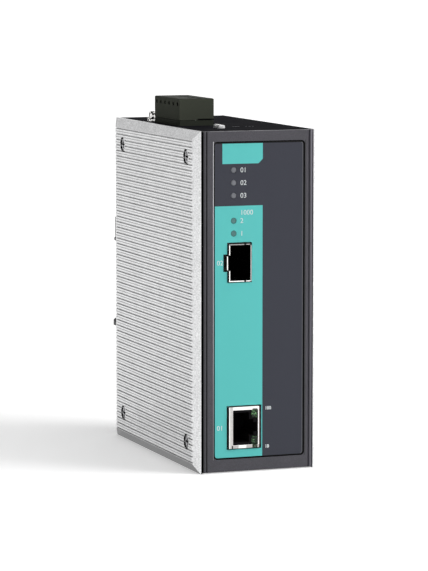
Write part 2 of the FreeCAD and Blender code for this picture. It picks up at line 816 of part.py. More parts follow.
def rj45_light_pipes():
    """Two green light pipes in the corners on the latch side."""
    pipes = []
    for side in (-1, 1):
        pipe = pipe_place(side, 0)
        edges = [e for e in pipe.Edges if e.CenterOfMass.y < port_front_y + jack_sheet + touch]
        pipes.append(pipe.makeChamfer(pipe_bevel, edges))
    return pipes


# ---- Optical module slot ----

def sfp_cage():
    """Sheet-metal cage, open at the front, with a latch tongue kicked out of the board side."""
    x0, x1 = board_face_x, board_face_x + cage_height
    z0, z1 = cage_low_z, cage_low_z + cage_width
    rear = port_front_y + cage_depth
    cage = box(x0, x1, port_front_y, rear, z0, z1)
    cage = cage.cut(box(x0 + cage_sheet, x1 - cage_sheet, port_front_y - 1, rear - cage_sheet,
                        z0 + cage_sheet, z1 - cage_sheet))
    half = cage_tongue_width / 2
    slot = cage_tongue_slot
    for z in (cage_centre_z - half - slot, cage_centre_z + half):
        cage = cage.cut(box(x0 - 1, x0 + cage_sheet, port_front_y - 1, port_front_y + cage_tongue_length,
                            z, z + slot))
    cage = cage.cut(box(x0 - 1, x0 + cage_sheet, port_front_y - 1, port_front_y + cage_tongue_length,
                        cage_centre_z - half, cage_centre_z + half))
    kick = [(x0 + cage_sheet, port_front_y + cage_tongue_length, cage_centre_z - half),
            (x0, port_front_y + cage_tongue_length, cage_centre_z - half),
            (x0 - cage_tongue_kick, port_front_y, cage_centre_z - half),
            (x0 - cage_tongue_kick + cage_sheet, port_front_y, cage_centre_z - half)]
    cage = cage.fuse(prism(kick, V(0, 0, cage_tongue_width)))
    vents = []
    for i in range(vent_columns):
        for j in range(vent_rows):
            y = port_front_y + vent_set_back + i * vent_column_pitch
            z = cage_centre_z + (j - (vent_rows - 1) / 2) * vent_row_pitch
            vents.append(rod(V(x1 - cut_over, y, z), X, vent_radius, 2 * cut_over))
    return cage.cut(Part.makeCompound(vents))


def sfp_connector():
    """Host socket at the back of the cage, with a slot for the module's card edge."""
    rear = port_front_y + cage_depth - cage_sheet - host_socket_rear_gap
    x0 = board_face_x + cage_sheet
    half = host_socket_width / 2
    body = box(x0, x0 + host_socket_height, rear - host_socket_depth, rear, cage_centre_z - half,
               cage_centre_z + half)
    slot_x = x0 + host_socket_height / 2 - card_slot_height / 2
    body = body.cut(box(slot_x, slot_x + card_slot_height, rear - host_socket_depth, rear - card_slot_wall,
                        cage_centre_z - card_slot_width / 2, cage_centre_z + card_slot_width / 2))
    nose = [e for e in body.Edges if abs(e.tangentAt(e.FirstParameter).z) > 0.99
            and e.CenterOfMass.x > x0 + host_socket_height - touch]
    return body.makeChamfer(host_socket_bevel, nose)


# ---- Terminal ----

def terminal_header():
    """Open-topped shroud on the terminal board that the plug pushes into."""
    x0, x1 = block_left_x, block_left_x + block_width
    shroud = box(x0, x1, block_front_y, block_rear_y, top_board_z, header_top_z)
    room = box(x0 + header_wall, x1 - header_wall, block_front_y + header_wall,
               block_rear_y - header_wall, header_floor_z, header_top_z + 1)
    shroud = shroud.cut(room)
    half = pin_size / 2 + pin_hole_gap
    for i in range(ways):
        shroud = shroud.cut(box(block_centre_x - half, block_centre_x + half, way_y(i) - half,
                                way_y(i) + half, top_board_z - 1, header_floor_z + 1))
    return shroud


def header_pins():
    """Six square pins, bevelled at the top, soldered through the terminal board."""
    pins = []
    half = pin_size / 2
    for i in range(ways):
        low = top_board_low_z - pin_tail
        pin = box(block_centre_x - half, block_centre_x + half, way_y(i) - half, way_y(i) + half,
                  low, header_floor_z + pin_above_floor)
        tips = [e for e in pin.Edges if e.CenterOfMass.z > header_floor_z + pin_above_floor - touch]
        pins.append(pin.makeChamfer(pin_bevel, tips))
    return pins


def terminal_plug():
    """Housing of the plug: a neck for the header, and a shaft, a wire hole and a screw hole per way."""
    block = box(block_left_x, block_left_x + block_width, block_front_y, block_rear_y,
                plug_bottom_z, plug_top_z)
    rim = [e for e in block.Edges if e.CenterOfMass.z > plug_top_z - touch]
    block = block.makeChamfer(plug_edge, rim)
    neck = box(block_centre_x - neck_width / 2, block_centre_x + neck_width / 2,
               block_centre_y - neck_length / 2, block_centre_y + neck_length / 2,
               neck_bottom_z, plug_bottom_z)
    block = block.fuse(neck)
    wire_x = (bar_x1 + clamp_x1 - clamp_wall) / 2
    cuts = []
    for i in range(ways):
        y = way_y(i)
        cuts.append(box(way_x0, way_x1, y - way_width / 2, y + way_width / 2, neck_bottom_z - 1, way_top_z))
        cuts.append(box(wire_x - wire_hole_length / 2, wire_x + wire_hole_length / 2,
                        y - wire_hole_width / 2, y + wire_hole_width / 2, way_top_z - cut_over,
                        plug_top_z + cut_over))
        cuts.append(rod(V(block_left_x - cut_over, y, clamp_axis_z), X, screw_hole_radius,
                        clamp_head_sunk + 2 * cut_over))
        cuts.append(rod(V(head_front_x - clamp_running_gap, y, clamp_axis_z), X,
                        clamp_head_radius + clamp_running_gap, clamp_head_height + 2 * clamp_running_gap))
        cuts.append(rod(V(head_back_x, y, clamp_axis_z), X, clamp_shank_radius + clamp_running_gap,
                        way_x0 - head_back_x + cut_over))
    for cut in cuts:
        block = block.cut(cut)
    return block


def plug_contacts():
    """Six forks that grip the header's pins, each with a bar that the wire is clamped against."""
    inner = pin_size / 2 + fork_gap
    outer = inner + fork_thickness
    bar_half = bar_thickness / 2
    top = bridge_z + fork_thickness
    contacts = []
    for i in range(ways):
        y0 = way_y(i) - bar_width / 2
        y1 = y0 + bar_width
        side = [(-outer, fork_low_z), (-inner, fork_low_z), (-inner, bridge_z), (inner, bridge_z),
                (inner, fork_low_z), (outer, fork_low_z), (outer, top), (bar_half, top),
                (bar_half, clamp_top_z), (-bar_half, clamp_top_z), (-bar_half, top), (-outer, top)]
        outline = [(block_centre_x + x, y0, z) for x, z in side]
        contact = prism(outline, V(0, y1 - y0, 0))
        shoulder = box(way_x0, way_x1, y0, y1, bridge_z, top)
        contacts.append(contact.fuse(shoulder).removeSplitter())
    return contacts


def clamp_screw(index):
    """Slotted screw that lies across one way; turning it moves the clamp along it."""
    length = bar_x0 - clamp_screw_gap - head_back_x
    profile = [(0, 0), (clamp_head_radius, 0), (clamp_head_radius, clamp_head_height),
               (clamp_shank_radius, clamp_head_height), (clamp_shank_radius, clamp_head_height + length),
               (0, clamp_head_height + length)]
    base = V(head_front_x, way_y(index), clamp_axis_z)
    screw = turned(profile, base, X)
    y = way_y(index)
    return screw.cut(box(head_front_x - cut_over, head_front_x + clamp_slot_depth, y - clamp_slot / 2,
                         y + clamp_slot / 2, clamp_axis_z - clamp_head_radius,
                         clamp_axis_z + clamp_head_radius))


def wire_clamp(index):
    """Square collar round the contact's bar; its left wall rides on the screw's thread."""
    half = way_width / 2 - clamp_side_gap
    y = way_y(index)
    z0, z1 = clamp_top_z - clamp_height, clamp_top_z
    collar = box(clamp_x0, clamp_x1, y - half, y + half, z0, z1)
    collar = collar.cut(box(clamp_x0 + clamp_wall, clamp_x1 - clamp_wall, y - half + clamp_wall,
                            y + half - clamp_wall, z0 - 1, z1 + 1))
    return collar.cut(rod(V(clamp_x0 - 1, y, clamp_axis_z), X, clamp_shank_radius + clamp_running_gap,
                          clamp_wall + 2 * cut_over))


# ---- Switch ----

def dip_y(index):
    """Middle of one lever's slot, counted from the front."""
    return dip_centre_y + (index - (dip_levers - 1) / 2) * dip_pitch


def dip_switch():
    """White switch body, with one open slot per lever across its top."""
    body = box(dip_centre_x - dip_width / 2, dip_centre_x + dip_width / 2,
               dip_centre_y - dip_length / 2, dip_centre_y + dip_length / 2,
               dip_top_z - dip_height, dip_top_z)
    rim = [e for e in body.Edges if e.CenterOfMass.z > dip_top_z - touch]
    body = body.makeChamfer(dip_bevel, rim)
    for i in range(dip_levers):
        body = body.cut(box(dip_centre_x - dip_window_length / 2, dip_centre_x + dip_window_length / 2,
                            dip_y(i) - dip_window_width / 2, dip_y(i) + dip_window_width / 2,
                            dip_top_z - dip_window_depth, dip_top_z + 1))
    return body


def dip_stand():
    """Black spacer that lifts the switch from the terminal board to the top sheet."""
    low, high = top_board_z, dip_top_z - dip_height
    stand = box(dip_centre_x - dip_width / 2, dip_centre_x + dip_width / 2,
                dip_centre_y - dip_length / 2, dip_centre_y + dip_length / 2, low, high)
    wall = dip_stand_wall
    return stand.cut(box(dip_centre_x - dip_width / 2 + wall, dip_centre_x + dip_width / 2 - wall,
                         dip_centre_y - dip_length / 2, dip_centre_y + dip_length / 2, low, high - wall))


def dip_lever(index):
    """Slide of the switch: a foot in the slot and a knob that stands out of it."""
    x0 = dip_centre_x - dip_window_length / 2 + dip_gap
    y = dip_y(index)
    half = dip_window_width / 2 - dip_gap
    width = dip_window_length - 2 * dip_gap - dip_travel
    low = dip_top_z - dip_window_depth + dip_gap
    lever = box(x0, x0 + width, y - half, y + half, low, dip_top_z + dip_knob_proud)
    tops = [e for e in lever.Edges if e.CenterOfMass.z > dip_top_z + dip_knob_proud - touch]
    return lever.makeFillet(dip_knob_round, tops)


# ---- Earthing screw ----

def ground_washers():
    """Flat washer on the top sheet, with a spring washer on it."""
    base = V(ground_x, ground_y, body_height)
    bore, low, high = washer_bore, washer_thickness, washer_thickness + spring_washer_thickness
    flat = turned([(bore, 0), (washer_radius, 0), (washer_radius, low), (bore, low)], base, Z)
    ring = turned([(bore, low), (spring_washer_radius, low), (spring_washer_radius, high), (bore, high)],
                  base, Z)
    split = box(ground_x, ground_x + washer_radius, ground_y - washer_split / 2,
                ground_y + washer_split / 2, body_height + low, body_height + high)
    return [flat, ring.cut(split)]


def ground_screw():
    """Pan-head earthing screw."""
    seat = V(ground_x, ground_y, body_height + washer_thickness + spring_washer_thickness)
    return pan_screw(seat, Z, ground_head_radius, ground_head_height, ground_shank_radius, ground_shank)


# ---- Rail clip ----

def hook_path_upper():
    """(y, z) line of an upper hook: out from the plate, down past the rail's edge, and a flared foot."""
    lip_low = rail_top_z - hook_overlap
    return [(plate_back_y, hook_top_z), (hook_lip_y, hook_top_z), (hook_lip_y, lip_low + hook_foot_rise),
            (hook_lip_y + hook_flare, lip_low)]


def hook_path_lower():
    """(y, z) line of a lower hook: out under the rail's lower edge, up behind it, and a flared tip."""
    lip_high = rail_low_z + hook_lower_lip
    return [(plate_back_y, rail_low_z), (hook_lip_y, rail_low_z), (hook_lip_y, lip_high - hook_tip_rise),
            (hook_lip_y + hook_tip, lip_high)]


def hook(path, thickness, x0):
    """One hook: a bent strip with the two corners of its free end cut off."""
    strip = bent_strip(path, thickness, x0, x0 + hook_width)
    end_z = path[-1][1]
    back = math.copysign(1, path[-2][1] - end_z)
    over = hook_corner + cut_over
    for x, way in ((x0, 1), (x0 + hook_width, -1)):
        corner = [(x - way * cut_over, plate_back_y, end_z + back * over),
                  (x + way * over, plate_back_y, end_z - back * cut_over),
                  (x - way * cut_over, plate_back_y, end_z - back * cut_over)]
        strip = strip.cut(prism(corner, V(0, 2 * hook_reach, 0)))
    return strip


def din_plate():
    """Steel plate on the rear, with two hooks above the rail and two below."""
    half = din_plate_half
    plate = rounded_plate(-half, half, din_plate_bottom, din_plate_top, rear_y, plate_back_y,
                          plate_corner)
    for x0 in (-half, half - hook_width):
        plate = plate.fuse(hook(hook_path_lower(), -din_plate_thickness, x0))
    for x0 in (-half + hook_upper_inset, half - hook_upper_inset - hook_width):
        plate = plate.fuse(hook(hook_path_upper(), din_plate_thickness, x0))
    plate = plate.removeSplitter()
    for x, z in din_screw_places():
        plate = plate.cut(countersink(V(x, plate_back_y, z), -Y, din_plate_thickness + 1))
    return plate


def din_plate_screws():
    """Three countersunk screws through the plate into the case's rear."""
    return [countersunk_screw(V(x, plate_back_y, z), -Y, din_screw_length) for x, z in din_screw_places()]


def rail_spring():
    """Stiff wire under the upper hooks: its ends press on the rail, its middle is bent up."""
    y = plate_back_y + spring_plate_gap + spring_wire
    z = rail_top_z + spring_wire
    end, foot = din_plate_half + spring_overhang, spring_middle
    rise = hook_upper_height - 2 * spring_wire - spring_travel - spring_top_gap
    bend = spring_bend
    path = []
    corners = [V(-end, y, z), V(-foot, y, z), V(-foot, y, z + rise), V(foot, y, z + rise),
               V(foot, y, z), V(end, y, z)]
    start = corners[0]
    for i in range(1, len(corners) - 1):
        into = (corners[i] - corners[i - 1]).normalize()
        out = (corners[i + 1] - corners[i]).normalize()
        first = corners[i] - into * bend
        last = corners[i] + out * bend
        middle = corners[i] + (out - into) * bend * (1 - math.sqrt(0.5))
        path.append(Part.LineSegment(start, first).toShape())
        path.append(Part.Arc(first, middle, last).toShape())
        start = last
    path.append(Part.LineSegment(start, corners[-1]).toShape())
    section = Part.Wire(Part.makeCircle(spring_wire, corners[0], X))
    return Part.Wire(path).makePipeShell([section], True, False)


# ---- Inner components, all on the main board's port side ----

def power_transformer():
    """Two-piece ferrite core round a wound bobbin."""
    height, length, width = transformer_size
    y, z = board_rear_y - transformer_inset[0], board_top_z - transformer_inset[1]
    foot_x, leg = board_face_x + bobbin_foot, core_leg
    core = box(foot_x, board_face_x + height, y - length / 2, y + length / 2, z - width / 2, z + width / 2)
    room = box(foot_x, board_face_x + height, y - length / 2 + leg, y + length / 2 - leg,
               z - width / 2 + leg, z + width / 2 - leg)
    winding = rod(V(foot_x, y, z), X, winding_radius, height - bobbin_foot - winding_sunk)
    foot = box(board_face_x, foot_x, y - length / 2, y + length / 2, z - width / 2 - bobbin_margin,
               z + width / 2 + bobbin_margin)
    return core.cut(room).fuse(foot).fuse(winding.common(room))


def relay_centre():
    """(y, z) of the relay."""
    return board_front_y + relay_inset[0], board_top_z - relay_inset[1]


def bulk_capacitors():
    """Can capacitors with a rolled neck."""
    r, length = capacitor_radius, capacitor_length
    low, high, bead = capacitor_neck, capacitor_neck + 2 * capacitor_bead, capacitor_bead
    profile = [(0, 0), (r, 0), (r, low), (r - bead, low + bead), (r, high), (r, length - bead),
               (r - bead, length), (0, length)]
    relay_rear_y, z = relay_centre()[0] + relay_size[1] / 2, relay_centre()[1]
    pitch = 2 * r + capacitor_gap
    return [turned(profile, V(board_face_x, relay_rear_y + pitch * i - r, z), X) for i in (1, 2)]


def choke():
    """Drum-core choke: a winding between two flanges."""
    r, h = choke_radius, choke_height
    waist, flange = choke_waist, choke_flange
    profile = [(0, 0), (r, 0), (r, flange), (waist, flange), (waist, h - flange), (r, h - flange), (r, h),
               (0, h)]
    return turned(profile, V(board_face_x, board_rear_y - choke_inset[0], board_top_z - choke_inset[1]), X)


def moulded(size, y, z, bevel):
    """Moulded component on the board, with bevelled upper edges."""
    height, length, width = size
    body = box(board_face_x, board_face_x + height, y - length / 2, y + length / 2,
               z - width / 2, z + width / 2)
    rim = [e for e in body.Edges if e.CenterOfMass.x > board_face_x + height - touch]
    return body.makeChamfer(bevel, rim)


def fault_relay():
    """Relay that switches the fault contact."""
    return moulded(relay_size, *relay_centre(), relay_bevel)


def isolation_magnetics():
    """Block of signal transformers behind the jack."""
    y = port_front_y + jack_depth + magnetics_gap + magnetics_size[1] / 2
    return moulded(magnetics_size, y, jack_centre_z, magnetics_bevel)


def crystal():
    """Clock crystal in its can, beside the chip."""
    y, z = chip_centre()
    y -= chip_side / 2 + chip_lead_reach + crystal_gap + crystal_size[1] / 2
    return moulded(crystal_size, y, z - crystal_drop, crystal_bevel)


def chip_centre():
    """(y, z) of the converter chip and its heat sink."""
    return board_rear_y - chip_inset[0], board_top_z - chip_inset[1]


def converter_chip():
    """Square package with leads on four sides."""
    y, z = chip_centre()
    half = chip_side / 2
    body = box(board_face_x + chip_lift, board_face_x + chip_thickness, y - half, y + half,
               z - half, z + half)
    top, lead = board_face_x + chip_lead_top, chip_lead / 2
    leads = []
    for i in range(chip_leads):
        at = (i - (chip_leads - 1) / 2) * chip_lead_pitch
        for low in (-half - chip_lead_reach, half):
            high = low + chip_lead_reach
            leads.append(box(board_face_x, top, y + low, y + high, z + at - lead, z + at + lead))
            leads.append(box(board_face_x, top, y + at - lead, y + at + lead, z + low, z + high))
    return body.fuse(leads).removeSplitter()


def chip_heatsink():
    """Finned aluminium heat sink stuck on the chip."""
    y, z = chip_centre()
    x0 = board_face_x + chip_thickness
    half = chip_side / 2
    gap = (chip_side - sink_fins * sink_fin) / (sink_fins - 1)
    outline = [(x0, -half), (x0, half)]
    for i in reversed(range(sink_fins)):
        low = -half + i * (sink_fin + gap)
        outline += [(x0 + sink_base, low + sink_fin)] if i < sink_fins - 1 else []
        outline += [(x0 + sink_height, low + sink_fin), (x0 + sink_height, low)]
        outline += [(x0 + sink_base, low)] if i else []
    return prism([(x, y - half, z + w) for x, w in outline], V(0, chip_side, 0))


def build():
    """Every node: its name, and its solid or list of solids."""
    parts = {
        "chassis": chassis(),
        "left_side_panel": side_panel(-1),
        "right_side_panel": side_panel(1),
        "left_panel_screws": panel_screws(-1),
        "right_panel_screws": panel_screws(1),
        "front_cover": front_cover(),
        "front_overlay": front_overlay(),
        "power_lens_1": status_lens(power_lens_z[0]),
        "power_lens_2": status_lens(power_lens_z[1]),
        "fault_lens": status_lens(power_lens_z[2]),
        "port_lens_1": status_lens(port_lens_z[0]),
        "port_lens_2": status_lens(port_lens_z[1]),
        "status_lamps": status_lamps(),
        "main_board": main_board(),
        "board_standoffs": board_standoffs(),
        "board_screws": board_screws(),
        "terminal_board": terminal_board(),
        "board_link": board_link(),
        "rj45_shield": rj45_shield(),
        "rj45_insert": rj45_insert(),
        "rj45_contacts": rj45_contacts(),
        "rj45_light_pipes": rj45_light_pipes(),
        "sfp_cage": sfp_cage(),
        "sfp_connector": sfp_connector(),
        "terminal_header": terminal_header(),
        "header_pins": header_pins(),
        "terminal_plug": terminal_plug(),
        "plug_contacts": plug_contacts(),
        "dip_switch": dip_switch(),
        "dip_stand": dip_stand(),
        "ground_washers": ground_washers(),
        "ground_screw": ground_screw(),
        "din_plate": din_plate(),
        "din_plate_screws": din_plate_screws(),
        "rail_spring": rail_spring(),
        "power_transformer": power_transformer(),
        "bulk_capacitors": bulk_capacitors(),
        "choke": choke(),
        "fault_relay": fault_relay(),
        "isolation_magnetics": isolation_magnetics(),
        "crystal": crystal(),
        "converter_chip": converter_chip(),
        "chip_heatsink": chip_heatsink(),
    }
    for i in range(ways):
        parts["clamp_screw_%d" % (i + 1)] = clamp_screw(i)
        parts["wire_clamp_%d" % (i + 1)] = wire_clamp(i)
    for i in range(dip_levers):
        parts["dip_lever_%d" % (i + 1)] = dip_lever(i)
    return parts


os.makedirs("parts", exist_ok=True)
for name, shape in build().items():
    solids = shape if isinstance(shape, list) else shape.Solids
    result = solids[0] if len(solids) == 1 else Part.makeCompound(solids)
    result.exportStep("parts/%s.step" % name)
    print("%-20s %d solid(s), %9.1f mm3, valid %s" % (name, len(solids), result.Volume, result.isValid()))
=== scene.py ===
"""Fibre media converter: the finishes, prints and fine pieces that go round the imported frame.

Sizes are in metres, as in the frame. Where a finish keeps to one part of a piece, such as a chamfer or a
groove, the sizes of that part are in millimetres."""

import math

import bpy
import numpy as np
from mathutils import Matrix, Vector


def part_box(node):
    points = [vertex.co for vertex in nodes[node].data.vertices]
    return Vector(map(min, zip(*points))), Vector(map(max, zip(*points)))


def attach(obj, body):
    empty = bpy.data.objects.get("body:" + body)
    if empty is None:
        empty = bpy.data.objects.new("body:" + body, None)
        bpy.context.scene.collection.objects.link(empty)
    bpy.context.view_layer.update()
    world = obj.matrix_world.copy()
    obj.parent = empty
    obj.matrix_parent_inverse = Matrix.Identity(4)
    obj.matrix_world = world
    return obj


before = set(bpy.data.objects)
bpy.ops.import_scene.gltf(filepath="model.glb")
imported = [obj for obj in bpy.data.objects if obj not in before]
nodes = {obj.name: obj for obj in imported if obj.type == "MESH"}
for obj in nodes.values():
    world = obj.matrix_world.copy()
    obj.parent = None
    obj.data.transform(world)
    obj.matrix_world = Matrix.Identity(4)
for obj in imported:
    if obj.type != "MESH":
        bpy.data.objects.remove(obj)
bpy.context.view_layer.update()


# ---------------------------------------------------------------------------------------------- Case
# One sheet of 1.2 mm steel, folded into the bottom, the rear and the top, with flanges along its sides
# that take the side panels' screws. It has a fine, matt black powder coat.

class Wire:
    """One output in a node tree. Arithmetic on it adds the Math nodes that work it out."""

    def __init__(self, tree, socket=None):
        self.tree, self.socket = tree, socket

    def node(self, kind, settings=(), inputs=(), output=0):
        """Add any node: its type, its settings, which are set first, then its inputs' values or links."""
        made = self.tree.nodes.new(kind)
        for name, value in dict(settings).items():
            setattr(made, name, value)
        for name, value in dict(inputs).items():
            if isinstance(value, Wire):
                self.tree.links.new(value.socket, made.inputs[name])
            else:
                made.inputs[name].default_value = value
        return Wire(self.tree, made.outputs[output])

    def math(self, operation, first, second=0.0):
        return self.node("ShaderNodeMath", {"operation": operation}, {0: first, 1: second})

    def __add__(self, other):
        return self.math("ADD", self, other)

    def __sub__(self, other):
        return self.math("SUBTRACT", self, other)

    def __rsub__(self, other):
        return self.math("SUBTRACT", other, self)

    def __mul__(self, other):
        return self.math("MULTIPLY", self, other)

    def __truediv__(self, other):
        return self.math("DIVIDE", self, other)

    def __mod__(self, other):
        return self.math("FLOORED_MODULO", self, other)

    def __abs__(self):
        return self.math("ABSOLUTE", self)

    __radd__, __rmul__ = __add__, __mul__

    def root(self):
        return self.math("SQRT", self)

    def at_least(self, floor):
        return self.math("MAXIMUM", self, floor)

    def step(self, low, high):
        """0 below low, 1 above high, and a smooth rise between them. Turned over if low is above high."""
        return self.node("ShaderNodeMapRange", {"interpolation_type": "SMOOTHSTEP"},
                         {"Value": self, "From Min": low, "From Max": high})

    def between(self, low, high, blur):
        """1 from low to high, falling smoothly to 0 over the width blur beyond either."""
        return self.step(low - blur, low) * self.step(high + blur, high)

    def noise(self, place, size, detail=2.0, stretch=(1, 1, 1)):
        """Cloudy noise from 0 to 1 with grains of about size metres, drawn out by stretch along each axis."""
        scaled = self.node("ShaderNodeVectorMath", {"operation": "DIVIDE"},
                           {0: place, 1: [size * s for s in stretch]})
        return self.node("ShaderNodeTexNoise", {}, {"Vector": scaled, "Scale": 1.0, "Detail": detail})

    def blend(self, colour_0, colour_1):
        """Colour 0 where self is 0, and colour 1 where it is 1."""
        return self.node("ShaderNodeMix", {"data_type": "RGBA"}, {0: self, 6: colour_0, 7: colour_1}, 2)

    def bump(self, height, depth):
        """Normal of a surface that rises by depth metres where height goes from 0 to 1."""
        return self.node("ShaderNodeBump", {}, {"Height": height, "Distance": depth, "Strength": 1.0})


def tone(red, green, blue):
    """Linear colour of an sRGB one from 0 to 255."""
    shares = [v / 255 for v in (red, green, blue)]
    return [v / 12.92 if v < 0.04045 else ((v + 0.055) / 1.055) ** 2.4 for v in shares] + [1.0]


def finish(name, **constants):
    """New material with one Principled shader. Gives both, and a Wire of the place of each point."""
    material = bpy.data.materials.new(name)
    material.use_nodes = True
    shader = material.node_tree.nodes["Principled BSDF"]
    for socket, value in constants.items():
        shader.inputs[socket.replace("_", " ")].default_value = value
    place = Wire(material.node_tree).node("ShaderNodeTexCoord", output=3)
    return material, shader, place


def feed(shader, **wires):
    """Link what varies over the surface to the shader's sockets."""
    for socket, wire in wires.items():
        wire.tree.links.new(wire.socket, shader.inputs[socket.replace("_", " ")])


def coat(name, colour, grain, depth, roughness, speckle=0.12, marks=None, **constants):
    """Powder coat or grained plastic: grains of that size and depth, with painted light making their crests a
    little lighter.

    marks is a function that takes the point's place and the grained colour, and gives the marked one."""
    material, shader, place = finish(name, **constants)
    grains = place.noise(place, grain, 3.0)
    clouds = place.noise(place, grain * 40, 2.0)
    shade = (grains - 0.5) * speckle * 2 + (clouds - 0.5) * speckle + 0.5
    light = [min(1.0, c * 1.5) for c in colour[:3]] + [1.0]
    dark = [2 * c - bright for c, bright in zip(colour, light)]
    grained = shade.blend(dark, light)
    feed(shader, Base_Color=marks(place, grained) if marks else grained,
         Roughness=(clouds - 0.5) * 0.15 + roughness, Normal=place.bump(grains, depth))
    return material


def dress(material, *names):
    """Give every slot of these CAD nodes this material."""
    for name in names:
        node = nodes[name]
        for i in range(len(node.data.materials)):
            node.data.materials[i] = material


def soften(width, *names):
    """Round sharp edges of CAD nodes by width metres: weld, join flat facets, then bevel what still turns."""
    for name in names:
        node = nodes[name]
        weld = node.modifiers.new("weld", "WELD")
        weld.merge_threshold = 1e-6
        flatten = node.modifiers.new("flatten", "DECIMATE")
        flatten.decimate_type = "DISSOLVE"
        flatten.angle_limit = math.radians(0.5)
        bevel = node.modifiers.new("edge", "BEVEL")
        bevel.width = width
        bevel.segments = 2
        bevel.limit_method = "ANGLE"
        bevel.angle_limit = math.radians(35)
        bevel.use_clamp_overlap = True
        bevel.harden_normals = False


dress(coat("case_coat", tone(19, 19, 22), 0.00030, 0.000018, 0.85, Specular_IOR_Level=0.01), "chassis")
soften(0.00015, "chassis")


# --------------------------------------------------------------------------------------- Side panels
# Two aluminium extrusions with 56 grooves along them and a fine notch along each rib, cut to length,
# chamfered all round and clear anodised. The die leaves fine streaks along the ribs.

def axes(place):
    """The place's x, y and z, in millimetres."""
    parts = place.node("ShaderNodeSeparateXYZ", {}, {0: place})
    return [Wire(place.tree, parts.socket.node.outputs[i]) * 1000.0 for i in range(3)]


def box_mm(name):
    """A node's lowest and highest corners, in millimetres."""
    return [corner * 1000 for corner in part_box(name)]


def reach(across, up):
    """How far a point is from where across and up are both 0."""
    return (across * across + up * up).root()


def from_panel_screw(y, z):
    """How far a point of a side panel is from the nearest of its four screws' middles, in millimetres."""
    head_radius = 2.8
    low, high = box_mm("left_panel_screws")
    along = abs(y - (low.y + high.y) / 2) - ((high.y - low.y) / 2 - head_radius)
    up = abs(z - (low.z + high.z) / 2) - ((high.z - low.z) / 2 - head_radius)
    return reach(along, up)


def panel_metal():
    """Anodised extrusion: streaks along the ribs, milled upright on the chamfers, and painted shade in
    places.

    Painted shade darkens the grooves and the notches, the end chamfers a little, the top chamfer more and the
    lower one most. The walls round the screws' heads are painted black as shade, and so is the innermost part
    of the left panel's cut ends, where they meet the case."""
    material, shader, place = finish("panel_metal", Metallic=1.0)
    x, y, z = axes(place)
    low, high = box_mm("right_side_panel")
    pitch, groove_half, notch_half = 2.304, 0.3, 0.2
    chamfer, slope = 3.7, 5.1              # the chamfers' widths, at the top and bottom and at the ends
    sink_radius = 3.2
    joint_edge = 2.4 - high.x
    middle_z = (low.z + high.z) / 2

    from_groove = abs((z - middle_z) % pitch - pitch / 2)
    from_top = (high.z - low.z) / 2 - abs(z - middle_z)
    from_end = (high.y - low.y) / 2 - abs(y)
    flat = from_top.step(chamfer - 0.05, chamfer + 0.05)
    face = flat * from_end.step(slope - 0.1, slope + 0.1)
    painted_groove_shading = from_groove.step(groove_half + 0.08, groove_half - 0.08) * face
    painted_notch_shade = from_groove.step(pitch / 2 - notch_half - 0.05, pitch / 2 - notch_half + 0.08) * face
    end_chamfer = ((from_end / slope).step(1.0, 0.98)
                   * (from_top / chamfer - from_end / slope).step(0.0, 0.03))
    low_chamfer_shade = (z - low.z).step(chamfer + 0.05, chamfer - 0.05) * (1 - end_chamfer)
    top_chamfer_shade = (high.z - z).step(chamfer + 0.05, chamfer - 0.05) * (1 - end_chamfer)
    # Painted shade: black on the inner part of the left panel's cut ends and on the walls round the screws'
    # heads.
    left_joint_shade = from_end.step(0.16, 0.09) * x.step(joint_edge - 0.15, joint_edge) * x.step(1.0, -1.0)
    sink_shade = (from_panel_screw(y, z).step(sink_radius + 0.15, sink_radius)
            * abs(x).step(high.x - 0.08, high.x - 0.14))

    drawn = place.noise(place, 0.00012, 3.0, (1, 60, 1))
    milled = place.noise(place, 0.00016, 3.0, (1, 1, 40))
    sparkle = place.noise(place, 0.0005, 2.0, (1, 2, 1))
    clouds = place.noise(place, 0.007, 2.0)
    lines = flat * drawn + (1 - flat) * milled
    # Painted shade: darker in the grooves and notches, a little on the end chamfers, more on the top chamfer
    # and most on the lower one.
    shade = (lines * 0.4 + clouds * 0.2 + sparkle * 0.9 - end_chamfer * 0.1 - face * 0.16 - painted_groove_shading * 0.3
             - painted_notch_shade * 0.5 - low_chamfer_shade * 1.6 - top_chamfer_shade * 0.45)
    bright = shade.step(-0.52, 1.5).blend([0.12, 0.12, 0.123, 1.0], [0.99, 0.995, 1.0, 1.0])
    feed(shader, Base_Color=(left_joint_shade + sink_shade).step(0.0, 1.0).blend(bright, tone(2, 2, 2)),
         Roughness=(lines - 0.5) * 0.14 + painted_groove_shading * 0.2 + 0.32,
         Normal=place.bump(lines + sparkle, 0.000006))
    return material


dress(panel_metal(), "left_side_panel", "right_side_panel")
soften(0.00008, "left_side_panel", "right_side_panel")


# --------------------------------------------------------------------------------------------- Screws
# Eight flat-head M3 screws with a cross recess, zinc plated, seated in countersinks in the panels.
# The rail clip is held by three more of the same kind, and the main board by four pan-head ones.

def panel_screw_zinc():
    """Bright zinc with light and dark blotches.

    Painted shade makes it black in the cross recess and dark round the head's edge.
    """
    material, shader, place = finish("panel_screw_zinc", Metallic=1.0)
    x, y, z = axes(place)
    head_face = box_mm("right_panel_screws")[1].x
    from_middle = from_panel_screw(y, z)
    # Painted shade: black in the cross recess and dark in a ring round the head's edge.
    recess = abs(x).step(head_face - 0.06, head_face - 0.16) * from_middle.step(2.2, 2.0)
    edge = from_middle.step(2.15, 2.5)
    blotches = place.noise(place, 0.0007, 2.0)
    shade = (blotches.step(0.4, 0.68) * 0.85 + 0.12) * (1 - recess) * (1 - edge)
    feed(shader, Base_Color=shade.blend([0.012, 0.012, 0.013, 1.0], [0.72, 0.72, 0.74, 1.0]),
         Roughness=blotches * 0.2 + 0.2, Normal=place.bump(blotches, 0.00005))
    return material


